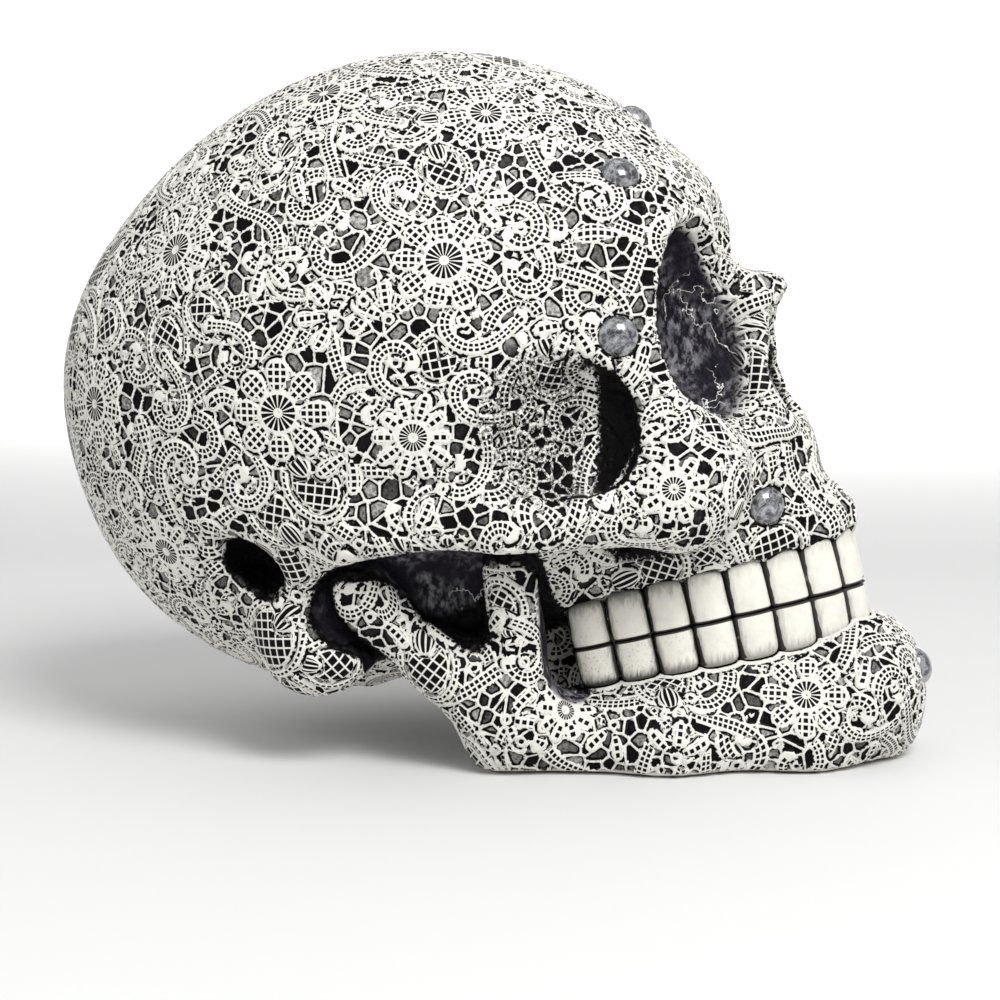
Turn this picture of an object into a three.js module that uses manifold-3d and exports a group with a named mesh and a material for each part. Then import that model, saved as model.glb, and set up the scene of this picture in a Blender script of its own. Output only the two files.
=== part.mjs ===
// A cast skull about as big as a real one, which stands on its jaw: a hollow cranium,
// a jaw, inset teeth and glass gems in shallow seats.
// Millimetres, +Z up, the face looks along -Y and the right side is -X.
import * as THREE from "three";
import { RoundedBoxGeometry } from "three/addons/geometries/RoundedBoxGeometry.js";
import { mergeVertices } from "three/addons/utils/BufferGeometryUtils.js";
import Module from "manifold-3d";

const wasm = await Module();
wasm.setup();

// Driving sizes of the skull
const skullWidth = 140;
const skullLength = 236;
const skullHeight = 185;
const pieceGap = 0.35; // clearance between pieces that touch
const overrun = 2; // how far a cutter runs past what it cuts

// Cranium shell
const shellWall = 3.2;
const foramenWidth = 30;
const foramenLength = 34;
const solidFaceDepth = 58; // from the front of the teeth back to where the hollow starts
const boneBlend = 9; // fillet where one bone runs into the next
const vaultBlend = 10;
const browBlend = 16;
const hollowEdge = 4; // fillet along the edge of a hollow
const templeEdge = 7;
const noseEdge = 2;

// Dental arch and teeth
const archHalfWidth = 30;
const archDepth = 74;
const archFront = 97.5; // from the cranium's middle forward to the biting edge
const archHeight = 46; // biting edge of the front teeth above the base
const archTilt = 12.8; // degrees that the biting plane rises toward the front
const teethPerSide = 8;
const toothDepth = 8;
const upperFrontTooth = 15.5; // height of the front teeth, root end included
const upperBackTooth = 12;
const lowerFrontTooth = 13;
const lowerBackTooth = 10.5;
const toothRoundShare = 0.2;
const gumRadius = 8.5;
const upperGumLift = 18.5;
const lowerGumLift = 19;
const gumInset = 7;
const gumSteps = 7;

// Jaw
const jawBlend = 10;

// Gems and round holes
const gemWidth = 10;
const gemHeight = 4;
const gemSeat = 1.2; // how deep a gem sits in the surface
const gemSides = 16;
const gemRings = 3;
const foramenSides = 32;

// The net that the bones are meshed on. Edges up to the longest merged are closed up
// where the faces' middles then stay within the tolerance of the true surface.
const boneNet = { cell: 4, longestMerged: 16, tolerance: 0.35 };
const jawNet = { cell: 4, longestMerged: 9, tolerance: 0.35 };
const cavityNet = { cell: 10, longestMerged: 18, tolerance: 1.2 };
const netMargin = 8;
const leastShare = 0.03; // how near a net vertex may come to a net line's end
const mergePasses = 6;
const leastFacing = 0.5; // cosine of the most that a face may turn as edges close up
const slopeStep = 0.35; // over which a surface's direction is measured
const settleRounds = 12;
const jawClearance = 0.8; // round the jaw, where the cranium takes it in

const degree = Math.PI / 180;

// Places as shares of the skull's width, length and height. Sizes of an egg or a
// block are its half sizes; a rod's radii are shares of the width.
const egg = (atShares, sizeShares, pitch = 0, yaw = 0) => ({ kind: "egg", atShares, sizeShares, pitch, yaw });
const rod = (fromShares, toShares, startShare, endShare) => ({
  kind: "rod", fromShares, toShares, startShare, endShare,
});
const block = (atShares, sizeShares, roundShare, pitch, yaw) => ({
  kind: "block", atShares, sizeShares, roundShare, pitch, yaw,
});

const vaultShares = [
  egg([0, 0.114, 0.535], [0.5, 0.398, 0.443], 30), // brain case
  egg([0, 0.27, 0.53], [0.38, 0.225, 0.27]), // back of the head
  egg([0.2, 0.16, 0.584], [0.264, 0.2, 0.232]), // side of the head
];
const browShares = block([0.129, -0.157, 0.595], [0.214, 0.097, 0.216], 0.129, 10, 12);
const faceShares = [
  egg([0.286, -0.237, 0.411], [0.107, 0.064, 0.097], 0, 25), // cheekbone
  rod([0.343, -0.212, 0.373], [0.418, -0.055, 0.351], 0.057, 0.054), // cheek arch, front
  rod([0.418, -0.055, 0.351], [0.421, 0.102, 0.335], 0.054, 0.05), // cheek arch, back
  rod([0.429, 0.076, 0.357], [0.386, 0.254, 0.368], 0.036, 0.029), // crest over the ear
  rod([0, -0.212, 0.719], [0, -0.297, 0.654], 0.046, 0.046), // nasal bridge
  rod([0.05, -0.271, 0.649], [0.107, -0.284, 0.476], 0.043, 0.057), // side of the nose
  egg([0, -0.203, 0.411], [0.257, 0.157, 0.162]), // upper jaw
  egg([0.329, 0.161, 0.184], [0.079, 0.064, 0.081]), // bump behind the ear
];
const orbitShares = [
  egg([0.229, -0.263, 0.611], [0.136, 0.089, 0.138], 12, 16),
  egg([0.193, -0.199, 0.6], [0.093, 0.076, 0.081]),
];
const noseShares = [
  egg([0, -0.322, 0.589], [0.046, 0.051, 0.07]),
  egg([0.05, -0.331, 0.53], [0.057, 0.051, 0.049]),
];
const templeShares = [
  egg([0.443, -0.085, 0.476], [0.071, 0.102, 0.081], 0, -16),
  egg([0.393, -0.131, 0.476], [0.064, 0.051, 0.084], 0, -25),
];
const hollowShares = [
  egg([0.414, -0.021, 0.227], [0.143, 0.186, 0.097]), // under the cheek arch
  egg([0, -0.169, 0.141], [0.157, 0.191, 0.086], 12), // palate
  egg([0, -0.025, 0.043], [0.243, 0.169, 0.162]), // throat
];
const earShares = rod([0.357, 0.206, 0.284], [0.571, 0.206, 0.284], 0.043, 0.061);
const foramenShares = [0, 0.186];

const jawShares = [
  rod([0.3, -0.042, 0.065], [0.329, 0.102, 0.232], 0.046, 0.046), // back edge of the upright
  rod([0.286, -0.068, 0.108], [0.314, -0.059, 0.297], 0.043, 0.038), // front spur
  rod([0.293, -0.051, 0.086], [0.307, 0.025, 0.157], 0.043, 0.039), // web between them
  rod([0.329, 0.102, 0.232], [0.343, 0.114, 0.27], 0.046, 0.05), // knuckle
  rod([0.264, -0.042, 0.043], [0.221, -0.212, 0.043], 0.068, 0.071), // body, back
  rod([0.221, -0.212, 0.043], [0.129, -0.356, 0.049], 0.071, 0.079), // body, middle
  rod([0.129, -0.356, 0.049], [0, -0.415, 0.049], 0.079, 0.089), // body, front
  egg([0, -0.415, 0.108], [0.193, 0.064, 0.092]), // chin
];

const gemShares = [
  { name: "gem_temple", at: [0.386, -0.174, 0.6], mirrored: true },
  { name: "gem_brow", at: [0.271, -0.159, 0.8], mirrored: true },
  { name: "gem_forehead", at: [0, -0.155, 0.897], mirrored: false },
  { name: "gem_cheek", at: [0.179, -0.318, 0.365], mirrored: true },
  { name: "gem_chin", at: [0, -0.479, 0.13], mirrored: false, onJaw: true },
];

function material(color, roughness, metalness) {
  return new THREE.MeshStandardMaterial({ color, roughness, metalness });
}
const castFinish = () => material("#d9d5ca", 0.6, 0);
const toothFinish = () => material("#e6e0d0", 0.45, 0);
const gemFinish = () => material("#b9bec4", 0.08, 0.2);

// Signed distances, in millimetres, negative inside

const skullSize = new THREE.Vector3(skullWidth, skullLength, skullHeight);
const placed = (shares) => new THREE.Vector3(...shares).multiply(skullSize);

function turned(from, at, shape) {
  const out = from.clone().sub(at);
  if (shape.pitch) {
    out.applyAxisAngle(new THREE.Vector3(1, 0, 0), shape.pitch * degree);
  }
  if (shape.yaw) {
    out.applyAxisAngle(new THREE.Vector3(0, 0, 1), -shape.yaw * degree);
  }
  return out;
}

function eggDistance(point, shape) {
  const local = turned(point, placed(shape.atShares), shape);
  const size = placed(shape.sizeShares);
  const once = local.divide(size);
  const reach = once.length();
  const slope = once.clone().divide(size).length();
  if (slope === 0) {
    return -Math.min(size.x, size.y, size.z);
  }
  return (reach * (reach - 1)) / slope;
}

function blockDistance(point, shape) {
  const round = shape.roundShare * skullWidth;
  const local = turned(point, placed(shape.atShares), shape);
  const size = placed(shape.sizeShares).subScalar(round);
  const over = new THREE.Vector3(Math.abs(local.x), Math.abs(local.y), Math.abs(local.z)).sub(size);
  const inside = Math.min(Math.max(over.x, over.y, over.z), 0);
  return over.max(new THREE.Vector3()).length() + inside - round;
}

function rodDistance(point, start, end, startRadius, endRadius) {
  const axis = end.clone().sub(start);
  const local = point.clone().sub(start);
  const along = THREE.MathUtils.clamp(local.dot(axis) / axis.lengthSq(), 0, 1);
  return local.distanceTo(axis.multiplyScalar(along)) - THREE.MathUtils.lerp(startRadius, endRadius, along);
}

function shapeDistance(point, shape) {
  if (shape.kind === "egg") {
    return eggDistance(point, shape);
  }
  if (shape.kind === "block") {
    return blockDistance(point, shape);
  }
  const startRadius = shape.startShare * skullWidth;
  const endRadius = shape.endShare * skullWidth;
  return rodDistance(point, placed(shape.fromShares), placed(shape.toShares), startRadius, endRadius);
}

// A smooth union of two distances: a quarter of the blend is added where they are equal
function joined(one, other, blend) {
  const near = Math.max(blend - Math.abs(one - other), 0) / blend;
  return Math.min(one, other) - (near * near * blend) / 4;
}

const carved = (body, tool, blend) => -joined(-body, tool, blend);

const allJoined = (point, shapes, blend) =>
  shapes.map((shape) => shapeDistance(point, shape)).reduce((one, other) => joined(one, other, blend));

const oneSide = (point) => new THREE.Vector3(Math.abs(point.x), point.y, point.z);

// The dental arch: half an ellipse on the tilted biting plane. A place on it has a turn from
// 0 at the middle to 1 at the back, a lift above the plane and an inset toward the mouth.
const archDown = new THREE.Vector3(0, Math.cos(archTilt * degree), -Math.sin(archTilt * degree));
const archUp = new THREE.Vector3(0, Math.sin(archTilt * degree), Math.cos(archTilt * degree));
const archStart = new THREE.Vector3(0, -archFront, archHeight);

function archPoint(turn, lift, inset) {
  const angle = (turn * Math.PI) / 2;
  const across = (archHalfWidth - inset) * Math.sin(angle);
  const back = archDepth - (archDepth - inset) * Math.cos(angle);
  return archStart.clone().addScaledVector(archDown, back).addScaledVector(archUp, lift).setX(across);
}

// Turns that part the arch into teeth of equal width
const archCurve = new (class extends THREE.Curve {
  getPoint(turn) {
    return archPoint(turn, 0, 0);
  }
})();
const toothPitch = archCurve.getLength() / teethPerSide;
const toothTurn = (place) => archCurve.getUtoTmapping(THREE.MathUtils.clamp(place / teethPerSide, -1, 1));
const gapTurns = pieceGap / 2 / toothPitch;

function gumDistance(point, lift, radius) {
  let nearest = Infinity;
  let start = archPoint(0, lift, gumInset);
  for (let step = 1; step <= gumSteps; step += 1) {
    const end = archPoint(step / gumSteps, lift, gumInset);
    nearest = Math.min(nearest, rodDistance(point, start, end, radius, radius));
    start = end;
  }
  return nearest;
}

function vaultDistance(point) {
  return allJoined(oneSide(point), vaultShares, vaultBlend);
}

function craniumDistance(fullPoint) {
  const point = oneSide(fullPoint);
  let distance = allJoined(point, vaultShares, vaultBlend);
  distance = joined(distance, shapeDistance(point, browShares), browBlend);
  for (const bone of faceShares) {
    distance = joined(distance, shapeDistance(point, bone), boneBlend);
  }
  distance = joined(distance, gumDistance(point, upperGumLift, gumRadius), boneBlend);
  distance = carved(distance, allJoined(point, orbitShares, boneBlend), hollowEdge);
  distance = carved(distance, allJoined(point, noseShares, hollowEdge), noseEdge);
  distance = carved(distance, allJoined(point, templeShares, boneBlend), templeEdge);
  for (const hollow of hollowShares) {
    distance = carved(distance, shapeDistance(point, hollow), hollowEdge);
  }
  return carved(distance, shapeDistance(point, earShares), hollowEdge);
}

function jawDistance(fullPoint) {
  const point = oneSide(fullPoint);
  const bones = allJoined(point, jawShares, jawBlend);
  return joined(bones, gumDistance(point, -lowerGumLift, gumRadius), boneBlend);
}

// The hollow keeps the wall's thickness everywhere and stops short of the solid face
function cavityDistance(point) {
  const frontLimit = solidFaceDepth - archFront;
  const past = Math.max(frontLimit - point.y, 0);
  return Math.max(craniumDistance(point), vaultDistance(point)) + shellWall + past;
}

// Meshing: the space is cut into tetrahedra, and each gets the flat piece of surface in it

function evenLines(from, to, cell) {
  const count = Math.ceil((to - from) / cell);
  return Array.from({ length: count + 1 }, (_, index) => from + ((to - from) * index) / count);
}

// Six ways from a cell's first corner to its last, one axis at a time
const axisOrders = [[1, 2, 4], [1, 4, 2], [2, 1, 4], [2, 4, 1], [4, 1, 2], [4, 2, 1]];

function surfaceOf(distanceAt, net, ranges) {
  const lines = ranges.map(([from, to]) => evenLines(from, to, net.cell));
  const counts = lines.map((list) => list.length);
  const nodeIndex = (x, y, z) => (z * counts[1] + y) * counts[0] + x;
  const places = [];
  const values = [];
  for (const z of lines[2]) {
    for (const y of lines[1]) {
      for (const x of lines[0]) {
        places.push(new THREE.Vector3(x, y, z));
        values.push(distanceAt(places.at(-1)));
      }
    }
  }

  const vertices = [];
  const crossings = new Map();
  function crossing(inner, outer) {
    const key = inner < outer ? inner * places.length + outer : outer * places.length + inner;
    if (!crossings.has(key)) {
      const share = values[inner] / (values[inner] - values[outer]);
      const kept = THREE.MathUtils.clamp(share, leastShare, 1 - leastShare);
      crossings.set(key, vertices.length);
      vertices.push(places[inner].clone().lerp(places[outer], kept));
    }
    return crossings.get(key);
  }

  const triangles = [];
  function addTriangle(corners, outward) {
    const [a, b, c] = corners.map((corner) => vertices[corner]);
    const normal = b.clone().sub(a).cross(c.clone().sub(a));
    triangles.push(...(normal.dot(outward) > 0 ? corners : corners.toReversed()));
  }
  function addTetrahedron(nodes) {
    const inner = nodes.filter((node) => values[node] < 0);
    const outer = nodes.filter((node) => values[node] >= 0);
    if (!inner.length || !outer.length) {
      return;
    }
    const sumOf = (list) => list.reduce((sum, node) => sum.add(places[node]), new THREE.Vector3());
    const outward = sumOf(outer).divideScalar(outer.length).sub(sumOf(inner).divideScalar(inner.length));
    if (inner.length === 2) {
      const ring = [[0, 0], [0, 1], [1, 1], [1, 0]].map(([one, two]) => crossing(inner[one], outer[two]));
      addTriangle([ring[0], ring[1], ring[2]], outward);
      addTriangle([ring[0], ring[2], ring[3]], outward);
    } else {
      addTriangle(inner.flatMap((one) => outer.map((two) => crossing(one, two))), outward);
    }
  }

  for (let z = 0; z < counts[2] - 1; z += 1) {
    for (let y = 0; y < counts[1] - 1; y += 1) {
      for (let x = 0; x < counts[0] - 1; x += 1) {
        // Cells left of the middle are cut as mirror images of those right of it
        const flip = lines[0][x] + lines[0][x + 1] < 0 ? 1 : 0;
        const node = (bits) =>
          nodeIndex(x + ((bits & 1) ^ flip), y + ((bits >> 1) & 1), z + ((bits >> 2) & 1));
        for (const [first, second] of axisOrders) {
          addTetrahedron([node(0), node(first), node(first | second), node(7)]);
        }
      }
    }
  }
  const onSurface = vertices.map((vertex) => settled(vertex, distanceAt).place);
  return closedUp(onSurface, triangles, distanceAt, net);
}

// Merges the ends of short edges where the surface stays closed, near its true place and facing as before
function closedUp(vertices, indices, distanceAt, net) {
  const faces = [];
  const around = vertices.map(() => new Set());
  for (let start = 0; start < indices.length; start += 3) {
    const face = indices.slice(start, start + 3);
    face.forEach((vertex) => around[vertex].add(faces.length));
    faces.push(face);
  }
  const neighbours = (vertex) => new Set([...around[vertex]].flatMap((face) => faces[face]));
  const normalOf = ([a, b, c], moved, to) => {
    const [one, two, three] = [a, b, c].map((vertex) => (moved.includes(vertex) ? to : vertices[vertex]));
    return two.clone().sub(one).cross(three.clone().sub(one)).normalize();
  };
  function merged(kept, gone) {
    const shared = [...around[kept]].filter((face) => around[gone].has(face));
    const common = [...neighbours(kept)].filter((vertex) => neighbours(gone).has(vertex));
    if (shared.length !== 2 || common.length !== 4) {
      return false;
    }
    const middle = settled(vertices[kept].clone().lerp(vertices[gone], 0.5), distanceAt).place;
    const moving = [...around[kept], ...around[gone]].filter((face) => !shared.includes(face));
    const turns = (face) =>
      normalOf(faces[face], [], middle).dot(normalOf(faces[face], [kept, gone], middle));
    const strays = (face) => {
      const centre = new THREE.Vector3();
      faces[face].forEach((vertex) => centre.add([kept, gone].includes(vertex) ? middle : vertices[vertex]));
      return Math.abs(distanceAt(centre.divideScalar(3))) > net.tolerance;
    };
    if (moving.some((face) => turns(face) < leastFacing || strays(face))) {
      return false;
    }
    vertices[kept] = middle;
    for (const face of around[gone]) {
      if (!shared.includes(face)) {
        faces[face] = faces[face].map((vertex) => (vertex === gone ? kept : vertex));
        around[kept].add(face);
      }
    }
    for (const face of shared) {
      faces[face].forEach((vertex) => around[vertex].delete(face));
      faces[face] = null;
    }
    around[gone].clear();
    return true;
  }
  for (let pass = 0; pass < mergePasses; pass += 1) {
    const short = [];
    for (const [a, b, c] of faces.filter((face) => face)) {
      for (const [one, two] of [[a, b], [b, c], [c, a]]) {
        const length = vertices[one].distanceTo(vertices[two]);
        if (one < two && length < net.longestMerged) {
          short.push({ one, two, length });
        }
      }
    }
    short.sort((first, second) => first.length - second.length);
    short.forEach(({ one, two }) => around[one].size && around[two].size && merged(one, two));
  }
  const kept = faces.filter((face) => face).flat();
  const names = [...new Set(kept)];
  const order = new Map(names.map((vertex, index) => [vertex, index]));
  const geometry = new THREE.BufferGeometry();
  geometry.setFromPoints(names.map((vertex) => vertices[vertex]));
  geometry.setIndex(kept.map((vertex) => order.get(vertex)));
  return geometry;
}

// A point moved square to the surface until it lies on it
function settled(point, distanceAt) {
  const here = distanceAt(point);
  const outward = new THREE.Vector3();
  for (const axis of ["x", "y", "z"]) {
    const ahead = point.clone();
    ahead[axis] += slopeStep;
    outward[axis] = distanceAt(ahead) - here;
  }
  outward.normalize();
  return { place: point.clone().addScaledVector(outward, -here), outward };
}

// Cutting and joining

function solidOf(geometry) {
  const bare = geometry.clone();
  bare.deleteAttribute("normal");
  bare.deleteAttribute("uv");
  const merged = mergeVertices(bare);
  return new wasm.Manifold(new wasm.Mesh({
    numProp: 3,
    vertProperties: new Float32Array(merged.attributes.position.array),
    triVerts: new Uint32Array(merged.index.array),
  }));
}

function geometryOf(solid) {
  const mesh = solid.getMesh();
  const geometry = new THREE.BufferGeometry();
  geometry.setAttribute("position", new THREE.BufferAttribute(mesh.vertProperties, 3));
  geometry.setIndex(new THREE.BufferAttribute(mesh.triVerts, 1));
  geometry.computeVertexNormals();
  return geometry;
}

// A unit box bent along the arch: its x runs along the arch, its y into the mouth, its z up
function bentAlongArch(geometry, startTurn, endTurn, startLift, endLift, depth) {
  const bent = geometry.clone();
  const place = bent.attributes.position;
  for (let index = 0; index < place.count; index += 1) {
    const turn = THREE.MathUtils.lerp(startTurn, endTurn, place.getX(index) + 0.5);
    const lift = THREE.MathUtils.lerp(startLift, endLift, place.getZ(index) + 0.5);
    const inset = depth.from + (depth.to - depth.from) * (place.getY(index) + 0.5);
    const point = archPoint(turn, lift, inset);
    place.setXYZ(index, point.x, point.y, point.z);
  }
  return bent;
}

const toothHeight = (place, front, back) => THREE.MathUtils.lerp(front, back, place / (teethPerSide - 1));
const archSides = { left: 1, right: -1 };
const archRows = {
  upper: { up: 1, front: upperFrontTooth, back: upperBackTooth },
  lower: { up: -1, front: lowerFrontTooth, back: lowerBackTooth },
};

function toothGeometry(row, side, place) {
  const { up, front, back } = archRows[row];
  const height = toothHeight(place, front, back);
  const startTurn = toothTurn(place + gapTurns);
  const endTurn = toothTurn(place + 1 - gapTurns);
  const unit = new RoundedBoxGeometry(1, 1, 1, 1, toothRoundShare);
  const lifts = up > 0 ? [pieceGap / 2, height] : [-height, -pieceGap / 2];
  const bent = bentAlongArch(unit, startTurn, endTurn, ...lifts, { from: 0, to: toothDepth });
  return archSides[side] > 0 ? bent : mirrored(bent);
}

function mirrored(geometry) {
  const copy = mergeVertices(geometry.clone().deleteAttribute("uv").deleteAttribute("normal"));
  copy.scale(-1, 1, 1);
  copy.index.array.reverse();
  return copy;
}

// The trough in a gum that takes the roots of one row of teeth
function troughSolid(row) {
  const { up, front } = archRows[row];
  const unit = new THREE.BoxGeometry(1, 1, 1, 2 * teethPerSide, 1, 1);
  const end = 1 + pieceGap / toothPitch / teethPerSide;
  const lifts = up > 0 ? [-overrun, front + pieceGap] : [-front - pieceGap, overrun];
  return solidOf(bentAlongArch(unit, -end, end, ...lifts, { from: -pieceGap, to: toothDepth + pieceGap }));
}

// A gem sits on the nearest place of the surface, square to it
function seatOf(gem, side) {
  const distanceAt = gem.onJaw ? jawDistance : craniumDistance;
  let seat = { place: placed(gem.at) };
  seat.place.x *= side;
  for (let round = 0; round < settleRounds; round += 1) {
    seat = settled(seat.place, distanceAt);
  }
  const turn = new THREE.Quaternion().setFromUnitVectors(new THREE.Vector3(0, 1, 0), seat.outward);
  return { seat: seat.place, turn };
}

function domeGeometry() {
  const profile = [new THREE.Vector2(0, 0)];
  for (let ring = 0; ring <= gemRings; ring += 1) {
    const angle = ((ring / gemRings) * Math.PI) / 2;
    profile.push(new THREE.Vector2((gemWidth / 2) * Math.cos(angle), gemHeight * Math.sin(angle)));
  }
  profile.at(-1).x = 0;
  return new THREE.LatheGeometry(profile, gemSides);
}

function placedOn({ seat, turn }, geometry, depth) {
  geometry.translate(0, -depth, 0);
  geometry.applyQuaternion(turn);
  geometry.translate(seat.x, seat.y, seat.z);
  return geometry;
}

// Pieces

const group = new THREE.Group();

function addPiece(name, geometry, finish) {
  const mesh = new THREE.Mesh(geometry, finish);
  mesh.name = name;
  group.add(mesh);
}

const gems = gemShares.flatMap((gem) => {
  const sides = gem.mirrored ? [["_left", 1], ["_right", -1]] : [["", 1]];
  return sides.map(([suffix, side]) => ({ ...gem, name: gem.name + suffix, place: seatOf(gem, side) }));
});

function gemPocket(gem) {
  const width = gemWidth / 2 + pieceGap;
  const pocket = new THREE.CylinderGeometry(width, width, gemSeat + pieceGap + overrun, gemSides);
  pocket.translate(0, (overrun - gemSeat - pieceGap) / 2, 0);
  return solidOf(placedOn(gem.place, pocket, 0));
}

const halfAcross = skullWidth / 2 + netMargin;
const behind = skullLength / 2 + netMargin + overrun;
const chinReach = skullLength / 2 + netMargin;
const netRanges = [[-halfAcross, halfAcross], [-chinReach, behind], [0, skullHeight + netMargin]];

function jawGeometry() {
  const rods = jawShares.filter((bone) => bone.kind === "rod");
  const ends = rods.flatMap((bone) => [placed(bone.fromShares), placed(bone.toShares)]);
  const reachBack = Math.max(...ends.map((end) => end.y)) + 2 * netMargin;
  const topLine = Math.max(...ends.map((end) => end.z)) + netMargin;
  const ranges = [[-halfAcross, halfAcross], [-chinReach, reachBack], [-2 * netMargin, topLine]];
  return surfaceOf(jawDistance, jawNet, ranges);
}

// The jaw with every corner moved outward, which leaves its clearance in the cranium
function grown(geometry, growth) {
  const larger = geometry.clone();
  larger.computeVertexNormals();
  const place = larger.attributes.position;
  for (let index = 0; index < place.count; index += 1) {
    const out = new THREE.Vector3().fromBufferAttribute(larger.attributes.normal, index);
    const moved = new THREE.Vector3().fromBufferAttribute(place, index).addScaledVector(out, growth);
    place.setXYZ(index, moved.x, moved.y, moved.z);
  }
  return larger;
}

function below(level, depth) {
  const slab = new THREE.BoxGeometry(2 * skullWidth, 2 * skullLength, depth);
  slab.translate(0, 0, level - depth / 2);
  return solidOf(slab);
}

function craniumSolid() {
  let solid = solidOf(surfaceOf(craniumDistance, boneNet, netRanges));
  solid = solid.subtract(solidOf(surfaceOf(cavityDistance, cavityNet, netRanges)));
  const foramen = new THREE.CylinderGeometry(1, 1, 1, foramenSides);
  foramen.rotateX(Math.PI / 2);
  foramen.scale(foramenWidth / 2, foramenLength / 2, skullHeight / 2);
  foramen.translate(0, placed([...foramenShares, 0]).y, skullHeight / 4 - overrun);
  solid = solid.subtract(solidOf(foramen));
  solid = solid.subtract(troughSolid("upper"));
  solid = solid.subtract(solidOf(grown(jawGeometry(), jawClearance)));
  for (const gem of gems.filter((one) => !one.onJaw)) {
    solid = solid.subtract(gemPocket(gem));
  }
  return solid;
}

function mandibleSolid() {
  let solid = solidOf(jawGeometry()).subtract(below(0, skullHeight));
  solid = solid.subtract(troughSolid("lower"));
  for (const gem of gems.filter((one) => one.onJaw)) {
    solid = solid.subtract(gemPocket(gem));
  }
  return solid;
}

addPiece("cranium", geometryOf(craniumSolid()), castFinish());
addPiece("mandible", geometryOf(mandibleSolid()), castFinish());
for (const row of Object.keys(archRows)) {
  for (const side of Object.keys(archSides)) {
    for (let place = 0; place < teethPerSide; place += 1) {
      addPiece(`${row}_tooth_${side}_${place + 1}`, toothGeometry(row, side, place), toothFinish());
    }
  }
}
for (const gem of gems) {
  addPiece(gem.name, placedOn(gem.place, domeGeometry(), gemSeat), gemFinish());
}

// The origin is below the middle of the whole skull, on the surface that it stands on
const box = new THREE.Box3().setFromObject(group);
const middle = box.getCenter(new THREE.Vector3());
group.position.set(-middle.x, -middle.y, -box.min.z);
group.updateMatrixWorld(true);

export default group;
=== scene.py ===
import math

import bpy
import numpy as np
from bpy.props import FloatProperty, FloatVectorProperty, IntProperty, PointerProperty
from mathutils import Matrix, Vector
from mathutils.kdtree import KDTree


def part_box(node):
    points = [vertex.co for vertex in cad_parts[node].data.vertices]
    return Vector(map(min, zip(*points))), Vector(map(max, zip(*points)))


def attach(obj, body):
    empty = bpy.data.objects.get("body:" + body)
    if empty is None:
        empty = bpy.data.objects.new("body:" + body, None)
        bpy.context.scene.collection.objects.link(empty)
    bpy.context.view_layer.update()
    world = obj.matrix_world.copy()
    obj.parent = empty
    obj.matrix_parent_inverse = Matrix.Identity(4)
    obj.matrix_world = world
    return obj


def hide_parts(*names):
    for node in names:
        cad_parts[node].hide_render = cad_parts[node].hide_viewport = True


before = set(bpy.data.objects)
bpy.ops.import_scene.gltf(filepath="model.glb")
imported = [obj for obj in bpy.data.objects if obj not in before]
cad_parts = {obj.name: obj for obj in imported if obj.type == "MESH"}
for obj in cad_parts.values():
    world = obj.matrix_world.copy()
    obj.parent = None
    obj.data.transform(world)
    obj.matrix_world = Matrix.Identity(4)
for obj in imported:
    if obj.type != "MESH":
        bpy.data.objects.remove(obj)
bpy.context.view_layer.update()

bl_info = {
    "name": "Sugar skull",
    "version": (1, 0, 0),
    "blender": (4, 5, 0),
    "location": "3D View > Sidebar > Sugar skull",
    "description": "Dresses the packed skull with lace relief, teeth and gems, and sets its stage",
    "category": "Object",
}

mm = 0.001

# Places as shares of the skull's width, length and height. Sizes of an egg or a block
# are its half sizes, angles are in degrees, and a rod's radii are shares of the width.


def egg(at_shares, half_shares, pitch=0, yaw=0):
    return {"kind": "egg", "at": at_shares, "half": half_shares, "pitch": pitch, "yaw": yaw}


def rod(from_shares, to_shares, start_share, end_share):
    return {"kind": "rod", "from": from_shares, "to": to_shares, "start": start_share, "end": end_share}


def block(at_shares, half_shares, round_share, pitch, yaw):
    return {
        "kind": "block", "at": at_shares, "half": half_shares, "round": round_share,
        "pitch": pitch, "yaw": yaw,
    }


vault_shares = [
    egg([0, 0.114, 0.535], [0.5, 0.398, 0.443], 30),  # brain case
    egg([0, 0.27, 0.53], [0.38, 0.225, 0.27]),  # back of the head
    egg([0.2, 0.16, 0.584], [0.264, 0.2, 0.232]),  # side of the head
]
brow_shares = block([0.129, -0.157, 0.595], [0.214, 0.097, 0.216], 0.129, 10, 12)
face_shares = [
    egg([0.286, -0.237, 0.411], [0.107, 0.064, 0.097], 0, 25),  # cheekbone
    rod([0.343, -0.212, 0.373], [0.418, -0.055, 0.351], 0.057, 0.054),  # cheek arch, front
    rod([0.418, -0.055, 0.351], [0.421, 0.102, 0.335], 0.054, 0.05),  # cheek arch, back
    rod([0.429, 0.076, 0.357], [0.386, 0.254, 0.368], 0.036, 0.029),  # crest over the ear
    rod([0, -0.225, 0.7], [0, -0.293, 0.666], 0.043, 0.055),  # nasal bridge
    rod([0.05, -0.271, 0.649], [0.107, -0.284, 0.476], 0.043, 0.057),  # side of the nose
    egg([0, -0.203, 0.411], [0.257, 0.157, 0.162]),  # upper jaw
    egg([0.329, 0.161, 0.184], [0.079, 0.064, 0.081]),  # bump behind the ear
]
saddle_shares = egg([0, -0.297, 0.745], [0.125, 0.063, 0.058])  # between the brows
orbit_shares = [
    egg([0.226, -0.265, 0.617], [0.138, 0.089, 0.146], 12, 16),
    egg([0.193, -0.199, 0.6], [0.093, 0.076, 0.081]),
]
nose_shares = [
    egg([0, -0.322, 0.589], [0.046, 0.051, 0.07]),
    egg([0.05, -0.331, 0.53], [0.057, 0.051, 0.049]),
]
temple_shares = [
    egg([0.438, -0.106, 0.482], [0.062, 0.088, 0.09], 0, -38),
    egg([0.38, -0.145, 0.475], [0.055, 0.034, 0.07], 0, -20),
]
temple_shade_shares = [0.126, 0.158]  # forward of the skull's middle
corner_shares = egg([0.25, -0.09, 0.2], [0.07, 0.06, 0.13])  # bare corner of the mouth
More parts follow.
